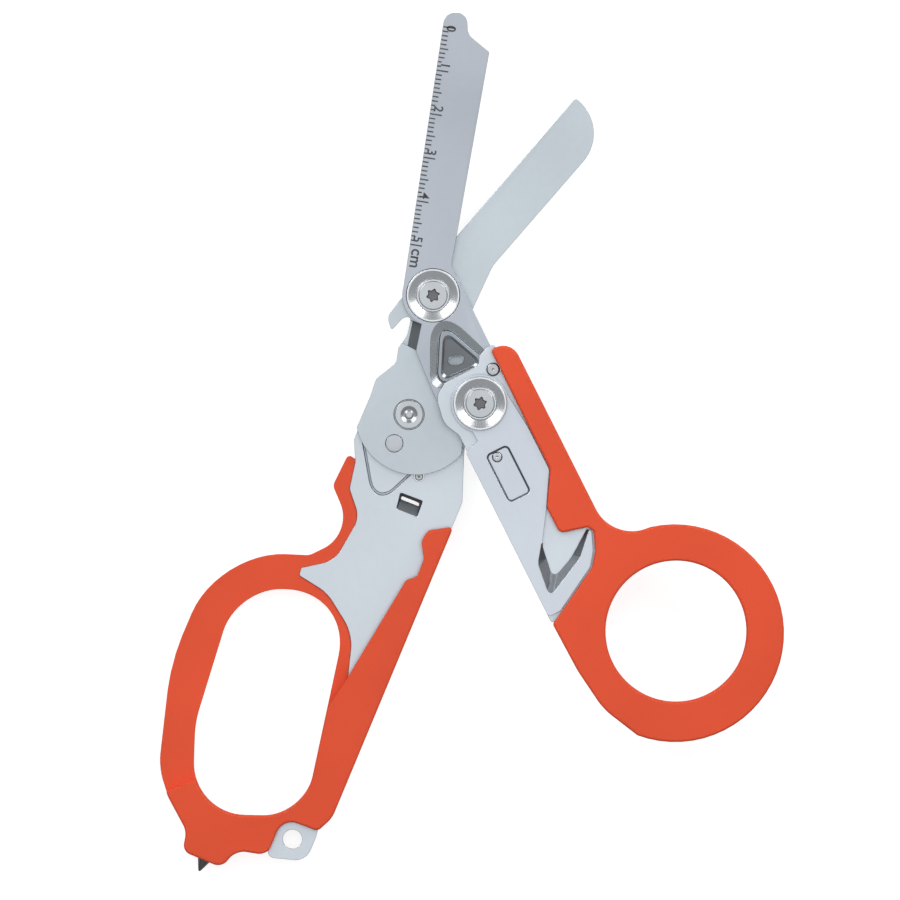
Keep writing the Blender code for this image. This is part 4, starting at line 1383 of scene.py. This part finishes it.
@dataclass
class LeftHandle:
    """The left frame with its lock lever, and the moulded grip with the finger loop."""

    axes: Axes
    loop_top: float = 42.1
    loop_length: float = 60.8
    back: float = 19.2
    out: float = 28.1
    tail_length: float = 8.6
    arm_level: float = 3.4
    lug_radius: float = 4.8
    lug_hole: float = 2.2
    pin_hole: float = 1.2
    lever_gap: float = 0.45
    web: float = 0.08

    def end(self) -> float:
        """Where the finger loop ends."""
        return self.loop_top + self.loop_length

    def lug(self) -> Span:
        """The middle of the lanyard hole."""
        return self.end() - 3.5, 12.8

    def frame_outline(self) -> list[Corner]:
        """The steel plate: pivot end, web, core strip and lanyard lug.

        Returns:
            The corners.
        """
        tail, top = self.end(), self.loop_top
        lug, side = self.lug()
        core = self.back - 2.4
        return self.axes.corners([
            (-9.5, -9.5, 8.0), (-9.5, 11.0, 8.0), (4.0, 15.2, 4.0), (13.8, self.back - 0.3, 2.0),
            (20.5, self.back - 0.3, 0.4), (21.0, core, 0.6), (tail - 11.0, core, 2.0),
            (lug - 2.5, side + self.lug_radius, 1.0), (lug + 3.4, side + self.lug_radius, 3.6),
            (lug + self.lug_radius + 1.2, side - 3.6, 1.6), (lug + 2.0, side - 5.2, 1.0),
            (lug - 4.3, side - 4.5, 4.0), (tail - 11.0, core - 3.8, 2.0),
            (top + 24.0, 12.4, 1.0),
            (top + 17.0, 9.8, 0.5), (top + 8.9, 7.4, 10.0), (top + 2.5, -1.6, 9.0), (top + 1.3, -9.0, 0.6),
            (top - 0.5, -9.1, 0.6), (top - 4.9, -2.8, 6.0), (26.0, -1.4, 5.0), (20.8, -6.0, 2.0),
            (14.7, -7.1, 1.5), (10.1, -9.4, 2.0),
        ])

    def lever_outline(self) -> list[Corner]:
        """The rounded lock lever."""
        return self.axes.corners([(7.7, -8.3, 0.9), (22.0, 0.9, 3.2), (8.1, 7.1, 0.9), (4.4, 2.1, 0.9)])

    def slot_tool(self, levels: Span) -> bpy.types.Object:
        """A tool for the wrench slot, whose far wall slopes.

        Args:
            levels: the frame's lower and upper level.

        Returns:
            The tool.
        """
        mouth = self.axes.corners([(17.1, 5.0, 0.4), (16.9, 10.5, 0.4), (20.9, 10.7, 0.4), (21.0, 5.6, 0.4)])
        floor = self.axes.corners([(17.75, 5.6, 0.3), (17.65, 10.0, 0.3), (18.4, 10.1, 0.3),
                                   (18.5, 5.7, 0.3)])
        slot = taper("slot", floor, mouth, (levels[0] + 0.2, levels[1] + SKIM))
        cut(slot, plate("slot_floor", floor, (levels[0] - CLEAR, levels[0] + 0.3)), operation="UNION")
        return slot

    def build_frame(self) -> bpy.types.Object:
        """Cut the steel plate.

        Returns:
            The frame.
        """
        levels = span("left_handle_frame")
        steel = plate("left_frame_steel", self.frame_outline(), levels)
        cut(steel, hole(self.axes.origin, PIVOT_BORE, levels),
            hole(self.axes.at(*self.lug()), self.lug_hole, levels),
            hole(middle("left_frame_stop_pin"), self.pin_hole, levels), self.slot_tool(levels),
            plate("pocket", grown(self.lever_outline(), self.lever_gap),
                  (levels[0] + self.web, levels[1] + CLEAR)))
        soften(steel, 0.1, sharper_than=14.0)
        return steel

    def loop_outline(self) -> list[Corner]:
        """The finger opening.

        Returns:
            The corners.
        """
        end = self.end()
        return self.axes.corners([
            (self.loop_top, 3.6, 12.5), (end - 9.3, 13.2, 11.4), (end, -10.5, 11.8),
            (end - 19.5, -17.9, 20.0), (self.loop_top + 9.4, 7.1 - self.out, 13.6),
        ])

    def grip_outline(self) -> list[Corner]:
        """The outside of the grip.

        Returns:
            The corners.
        """
        end, out = self.end(), -self.out
        tail = end + self.tail_length
        lug, _ = self.lug()
        return self.axes.corners([
            (13.7, -9.3, 0.9), (21.6, -9.8, 2.0), (29.9, -1.2, 8.0), (38.3, -8.6, 3.0), (45.4, out, 22.0),
            (end - 30.0, out - 0.2, 44.0), (end - 6.9, out + 6.5, 14.0), (end - 1.6, out + 11.0, 5.0),
            (end + 4.0, -10.2, 4.0), (tail, -9.2, 2.2), (tail, 0.4, 2.6), (end + 3.7, 2.0, 4.0),
            (end + 2.2, 8.2, 3.0), (end + 0.6, 8.9, 1.0), (lug - 3.7, 8.9, 3.6), (lug - 4.0, 17.4, 1.4),
            (end - 11.5, self.back + 0.1, 6.0), (19.6, self.back, 0.8), (23.4, 13.0, 3.0), (25.0, -1.5, 2.0),
            (19.0, -5.0, 2.0), (14.2, -6.5, 0.7),
        ])

    def low_arm_outline(self) -> list[Corner]:
        """The part of the grip that is sunk, so that the blades fold over it.

        Returns:
            The corners.
        """
        end, top, far = self.end(), self.loop_top, -self.out - 8.0
        return self.axes.corners([
            (5.0, self.back + 4.0, 0.0), (18.5, self.back + 4.0, 0.0), (20.1, self.back - 1.2, 1.0),
            (22.0, 14.4, 2.0), (25.4, 13.6, 2.5), (29.0, 15.8, 2.0), (33.2, 15.9, 0.6), (35.1, 13.9, 0.8),
            (top + 20.4, 9.9, 3.0), (top + 32.0, 7.5, 0.0), (end - 12.0, -5.0, 0.0), (end - 6.9, -13.3, 0.0),
            (end - 1.4, -19.0, 0.0), (end - 1.4, far, 0.0), (5.0, far, 0.0),
        ])

    def build_grip(self) -> bpy.types.Object:
        """Mould the grip, round its edges, then open it for the frame and the glass breaker's cup.

        Returns:
            The grip.
        """
        low, top = span("left_handle_grip")
        frame_low, frame_top = span("left_handle_frame")
        grip = plate("left_grip_nylon", self.grip_outline(), (low, top))
        cut(grip, plate("loop", self.loop_outline(), (low - CLEAR, top + CLEAR)))
        soften(grip, 0.55, segments=5, sharper_than=35.0)
        pocket = (frame_low - FIT_GAP, frame_top + FIT_GAP)
        cut(grip, plate("low_arm", self.low_arm_outline(), (self.arm_level, top + CLEAR)))
        soften(grip, 0.15, segments=2, sharper_than=60.0)
        cut(grip, plate("pocket", grown(self.frame_outline(), SEAT_GAP), pocket), GlassBreaker(self).socket())
        return grip

    def dress(self, bench: Bench) -> None:
        """Finish the frame, grip and lever.

        Args:
            bench: where the pieces are finished.
        """
        low, top = span("left_handle_frame")
        # The slot's sloping wall takes a darker copy of steel: painted shade on the slope.
        bench.fit(self.build_frame(), "left_handle", "frame_steel", ["left_handle_frame"], "painted_shade_slope_steel",
                  sloping(low, top - 0.2))
        bench.fit(self.build_grip(), "left_handle", "orange_nylon", ["left_handle_grip"])
        lever = plate("lock_lever_steel", self.lever_outline(), span("left_lock_lever"))
        soften(lever, 0.2, segments=3, sharper_than=20.0)
        bench.fit(lever, "lock_lever", "frame_steel", ["left_lock_lever"])


@dataclass
class GlassBreaker:
    """The carbide point at the left grip's tail."""

    handle: LeftHandle
    radius: float = 1.5
    wall: float = 0.8
    body: float = 5.0
    point: float = 2.7
    across: float = -4.0

    def level(self) -> float:
        """The height of its axis."""
        low, top = span("glass_breaker_tip")
        return (low + top) / 2.0

    def place(self, beyond: float) -> Vector:
        """A point on its axis, by how far it is beyond the grip's tail."""
        return self.handle.axes.at(self.handle.end() + self.handle.tail_length + 0.1 + beyond, self.across)

    def socket(self) -> bpy.types.Object:
        """A tool for the cup's room in the grip.

        Returns:
            The tool.
        """
        room = self.radius + self.wall + 0.4
        ends = (self.place(-self.body - 2.0 * self.wall - 0.4), self.place(self.point))
        return lying_bar("socket", ends, self.level(), (room, room))

    def dress(self, bench: Bench) -> None:
        """Grind and finish the point.

        Args:
            bench: where the pieces are finished.
        """
        profile = [(0.0, -self.body), (self.radius, -self.body), (self.radius, -0.25),
                   (self.radius - 0.12, 0.05),
                   (0.34, self.point - 0.28), (0.2, self.point - 0.08), (0.0, self.point)]
        tip = turned("glass_breaker_carbide", profile, Vector((0.0, 0.0)), 0.0)
        axis = Vector((*self.handle.axes.along, 0.0))
        turn = Vector((0.0, 0.0, 1.0)).rotation_difference(axis).to_matrix().to_4x4()
        place = self.place(0.0)
        tip.data.transform(Matrix.Translation((place.x, place.y, self.level())) @ turn)
        bench.fit(tip, "left_handle", "carbide", ["glass_breaker_tip"])


# ---------------------------------------------------------------- right handle

@dataclass
class StrapCutter:
    """The flat strap cutter with its nail recess and its hollow-ground V."""

    axes: Axes
    length: float = 50.2
    edge: float = -7.9
    base_radius: float = 6.6
    nail_depth: float = 0.5
    pin_hole: float = 1.15

    def outline(self) -> list[Corner]:
        """Round base, straight edge, hook and V notch.

        Returns:
            The corners.
        """
        end = self.length
        base = self.axes.arc((0.0, 0.0), self.base_radius, 80.0, 318.0)
        hook = self.axes.corners([
            (7.6, -4.3, 0.6), (8.3, self.edge, 1.0), (end, self.edge, 1.0), (end, self.edge + 3.0, 1.5),
            (end - 5.9, 5.7, 3.0), (end - 8.9, 7.9, 2.0), (end - 13.0, 9.6, 0.4), (end - 13.9, 8.8, 0.3),
            (end - 9.6, 2.6, 8.0), (end - 7.2, -3.1, 1.2), (end - 15.4, -1.8, 6.0), (end - 21.5, 2.3, 2.0),
            (20.4, 7.3, 2.0), (10.0, 7.3, 8.0),
        ])
        return base + hook

    def notch_grind(self, top: float) -> bpy.types.Object:
        """A tool that hollow-grinds both edges of the V.

        Args:
            top: the level of the cutter's upper face.

        Returns:
            The tool.
        """
        end = self.length
        high = self.axes.corners([
            (end - 13.6, 9.4, 0.0), (end - 8.6, 4.4, 4.0), (end - 3.7, -5.75, 1.1), (end - 11.8, -4.7, 3.0),
            (end - 15.6, -1.9, 0.0), (end - 15.6, 4.0, 0.0),
        ])
        low = self.axes.corners([
            (end - 14.1, 8.8, 0.0), (end - 9.72, 2.5, 8.0), (end - 7.4, -3.0, 1.08), (end - 12.1, -2.25, 3.0),
            (end - 15.4, -1.66, 0.0), (end - 15.6, 4.0, 0.0),
        ])
        return taper("notch_grind", low, high, (top - 1.42, top + SKIM))

    def dress(self, bench: Bench) -> None:
        """Grind and finish the cutter.

        Args:
            bench: where the pieces are finished.
        """
        low, top = span("strap_cutter")
        steel = plate("strap_cutter_steel", self.outline(), (low, top))
        nail = self.axes.corners([(11.2, -4.1, 1.0), (11.2, 1.2, 1.0), (23.0, 1.2, 1.0), (23.0, -4.1, 1.0)])
        nail_mouth = grown(nail, 0.22)
        cut(steel, hole(self.axes.origin, PIVOT_BORE, (low, top)), self.notch_grind(top),
            taper("nail", grown(nail_mouth, -0.4), nail_mouth, (top - self.nail_depth, top + SKIM)),
            hole(middle("cutter_detent_pin"), self.pin_hole, (low, top)))
        soften(steel, 0.07, sharper_than=14.0)
        # The V's ground slopes and the nail recess's walls take a darker copy of steel: painted shade on the
        # slopes.
        bench.fit(steel, "strap_cutter", "cutter_steel", ["strap_cutter"], "painted_shade_slope_steel",
                  sloping(low, top - 0.08))


@dataclass
class RightHandle:
    """The right frame and the moulded grip with the thumb ring."""

    axes: Axes
    cutter: StrapCutter
    ring_radius: float = 16.0
    wall: float = 8.7
    ring_across: float = 16.5
    out: float = 12.7
    pin_hole: float = 1.46
    pin_room: float = 1.7

    def ring_along(self) -> float:
        """How far along the handle the thumb ring's middle lies."""
        return self.cutter.length + 15.9

    def frame_outline(self) -> list[Corner]:
        """The steel plate.

        Returns:
            The corners.
        """
        end, edge = self.cutter.length, self.cutter.edge
        return self.axes.corners([
            (-10.7, 7.2, 0.7), (-9.8, 4.7, 0.7), (-7.9, 3.5, 0.9), (-7.8, -5.0, 1.8), (-5.7, -8.3, 3.2),
            (0.4, -9.4, 4.5), (4.3, edge + 0.4, 1.8), (end + 1.7, edge, 0.7), (end + 1.6, edge + 2.8, 0.9),
            (end - 6.2, 9.0, 3.0), (end - 14.2, 12.0, 3.0), (end - 20.2, self.out - 1.8, 3.0),
            (-7.0, self.out - 1.8, 3.0), (-10.6, 8.6, 1.0),
        ])

    def grip_outline(self) -> list[Corner]:
        """The outside of the grip: straight arm, thumb ring and the side that follows the cutter.

        Returns:
            The corners.
        """
        outer, end, edge = self.ring_radius + self.wall, self.cutter.length, self.cutter.edge
        along = self.ring_along()
        beside = grown(self.cutter.outline(), SWING_GAP)
        inner = [beside[-1], beside[-2]] + self.axes.corners([
            (end - 22.8, 2.9, 1.0), (end - 15.8, 2.9, 1.5), (end - 14.2, 9.2, 0.7), (end - 12.7, 10.0, 0.7),
            (end - 8.6, 8.3, 2.0), (end - 5.6, 6.0, 3.0), (end + 0.4, edge + 3.0, 1.5),
            (end + 1.9, edge + 0.1, 1.0), (along - 2.0, self.ring_across - outer + 0.7, 20.0),
            (along + 8.3, self.ring_across - outer + 2.0, 14.0),
        ])
        rim = self.axes.arc((along + 0.3, self.ring_across - 0.4), outer, -47.0, 166.0)
        arm = self.axes.corners([(along - outer - 0.2, self.out, 9.0), (-10.1, self.out, 4.5)])
        return self.axes.corners([(-9.7, 7.6, 0.9)]) + inner + rim + arm

    def build_grip(self) -> bpy.types.Object:
        """Mould the grip, round its edges, then open it for the frame, the cutter and its stop pin.

        Returns:
            The grip.
        """
        low, top = span("right_handle_grip")
        cutter_low, _ = span("strap_cutter")
        _, frame_top = span("right_handle_frame")
        grip = plate("right_grip_nylon", self.grip_outline(), (low, top))
        centre = self.axes.at(self.ring_along(), self.ring_across)
        cut(grip, drum("ring", centre, self.ring_radius, (low - CLEAR, top + CLEAR)))
        soften(grip, 0.6, segments=5, sharper_than=35.0)
        room = (cutter_low - FIT_GAP, top + CLEAR)
        cut(grip, plate("pocket", grown(self.frame_outline(), SEAT_GAP), (low - CLEAR, frame_top + FIT_GAP)),
            plate("room", grown(self.cutter.outline(), SWING_GAP), room),
            drum("pin_room", middle("cutter_stop_pin"), self.pin_room, room))
        return grip

    def dress(self, bench: Bench) -> None:
        """Finish the frame and the grip.

        Args:
            bench: where the pieces are finished.
        """
        levels = span("right_handle_frame")
        steel = plate("right_frame_steel", self.frame_outline(), levels)
        cut(steel, hole(self.axes.origin, PIVOT_BORE, levels),
            hole(middle("cutter_stop_pin"), self.pin_hole, levels))
        soften(steel, 0.12, sharper_than=14.0)
        bench.fit(steel, "right_handle", "frame_steel", ["right_handle_frame"])
        bench.fit(self.build_grip(), "right_handle", "orange_nylon", ["right_handle_grip"])


# ---------------------------------------------------------------- studio

@dataclass
class Studio:
    """Camera, floor, soft boxes and the pale room round them."""

    aim: Corner = (-0.0048, -0.0017, 0.008)
    distance: float = 3.0
    view_width: float = 0.2045
    sensor: float = 36.0
    floor_size: float = 12.0

    def camera(self) -> None:
        """A long lens that looks straight down."""
        data = bpy.data.cameras.new("camera")
        data.sensor_width = self.sensor
        data.lens = self.sensor * self.distance / self.view_width
        data.clip_end = 50.0
        item = bpy.data.objects.new("camera", data)
        item.location = Vector(self.aim) + Vector((0.0, 0.0, self.distance))
        bpy.context.scene.collection.objects.link(item)
        bpy.context.scene.camera = item

    def floor(self) -> None:
        """A white table."""
        shape = bmesh.new()
        bmesh.ops.create_grid(shape, x_segments=4, y_segments=4, size=self.floor_size / 2.0)
        bmesh.ops.translate(shape, verts=shape.verts, vec=(0.0, 0.0, -0.0003))
        item = to_object("floor", shape)
        material, shader, _ = new_material("white_table")
        tree = material.node_tree
        rays = add_node(tree, "LightPath")
        seen = add_node(tree, "MapRange", {"To Min": 0.12, "To Max": 0.8},
                        {"Value": rays.outputs["Is Camera Ray"]})
        tree.links.new(seen.outputs["Result"], shader.inputs["Emission Strength"])
        shader.inputs["Base Color"].default_value = (0.5, 0.5, 0.5, 1.0)
        shader.inputs["Roughness"].default_value = 0.9
        shader.inputs["Specular IOR Level"].default_value = 0.1
        shader.inputs["Emission Color"].default_value = (1.0, 1.0, 1.0, 1.0)
        item.data.materials.append(material)

    def soft_box(self, name: str, size: float, radiance: float, place: Corner) -> None:
        """A square area light aimed at the tool.

        Args:
            name: the light's name.
            size: its side.
            radiance: how bright its face is.
            place: where it hangs.
        """
        data = bpy.data.lights.new(name, "AREA")
        data.shape = "SQUARE"
        data.size = size
        data.energy = radiance * math.pi * size * size
        item = bpy.data.objects.new(name, data)
        item.location = place
        item.rotation_euler = (-Vector(place)).to_track_quat("-Z", "Y").to_euler()
        bpy.context.scene.collection.objects.link(item)

    def room(self) -> None:
        """A dim room, darker near the horizon."""
        world = bpy.data.worlds.new("room")
        world.use_nodes = True
        tree = world.node_tree
        place = add_node(tree, "TexCoord")
        split = add_node(tree, "SeparateXYZ", {}, {0: place.outputs["Generated"]})
        height = add_node(tree, "MapRange", {"From Min": 0.3, "From Max": 0.6, "To Min": 0.24, "To Max": 0.4},
                          {"Value": split.outputs["Z"]})
        tree.links.new(height.outputs["Result"], tree.nodes["Background"].inputs["Strength"])
        tree.nodes["Background"].inputs["Color"].default_value = (0.97, 0.985, 1.0, 1.0)
        bpy.context.scene.world = world

    def build(self) -> None:
        """Set everything up."""
        self.camera()
        self.floor()
        self.room()
        self.soft_box("overhead", 1.3, 0.78, (0.0, 0.1, 1.7))
        self.soft_box("upper_left", 0.42, 5.0, (-0.52, 0.52, 0.58))
        self.soft_box("upper_right", 0.42, 5.0, (0.52, 0.52, 0.58))
        bpy.context.scene.view_settings.view_transform = "Standard"


# ---------------------------------------------------------------- the whole tool

KEPT_NODES = {
    "main_pivot_nut": "small_steel",
    "right_pivot_nut": "small_steel",
    "right_lock_cover": "small_steel",
    "right_lock_spring": "bright_steel",
    "left_lock_spring": "bright_steel",
    "glass_breaker_holder": "small_steel",
}


def main() -> None:
    """Build the tool sub-assembly by sub-assembly."""
    logging.basicConfig(level=logging.INFO, format="%(name)s: %(message)s")
    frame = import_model()
    Studio().build()
    bench = Bench(Paintbox())
    main_pivot, left_pivot = middle("main_pivot_washer"), middle("left_pivot_washer")
    right_pivot = middle("right_pivot_washer")
    blade = RulerBlade(Axes(main_pivot, Lean.RULER), Axes(main_pivot, Lean.RULER_TANG, right_handed=False),
                       (right_pivot - main_pivot).length)
    cutter = StrapCutter(Axes(right_pivot, Lean.RIGHT_HANDLE, right_handed=False))
    left = LeftHandle(Axes(left_pivot, Lean.LEFT_HANDLE, right_handed=False))
    parts = [
        blade,
        RulerMarks(blade),
        LockButton(blade),
        RearBlade(Axes(main_pivot, Lean.REAR), Axes(main_pivot, Lean.REAR_TANG, right_handed=False),
                  (left_pivot - main_pivot).length),
        PivotScrew("main_pivot_washer", "main_pivot_screw", "ruler_blade"),
        PivotScrew("right_pivot_washer", "right_pivot_screw", "ruler_blade"),
        PivotScrew("left_pivot_washer", "left_pivot_screw", "left_handle", side=-1.0),
        DimpledNut(),
        DimpledPin("left_frame_stop_pin", "left_handle", 1.0),
        DimpledPin("cutter_stop_pin", "right_handle", 1.4),
        DimpledPin("cutter_detent_pin", "strap_cutter", 1.1),
        left,
        GlassBreaker(left),
        cutter,
        RightHandle(Axes(right_pivot, Lean.RIGHT_HANDLE, right_handed=False), cutter),
    ]
    for part in parts:
        part.dress(bench)
    for node, finish in KEPT_NODES.items():
        bench.repaint(frame["nodes"][node], finish)


if __name__ == "__main__":
    main()
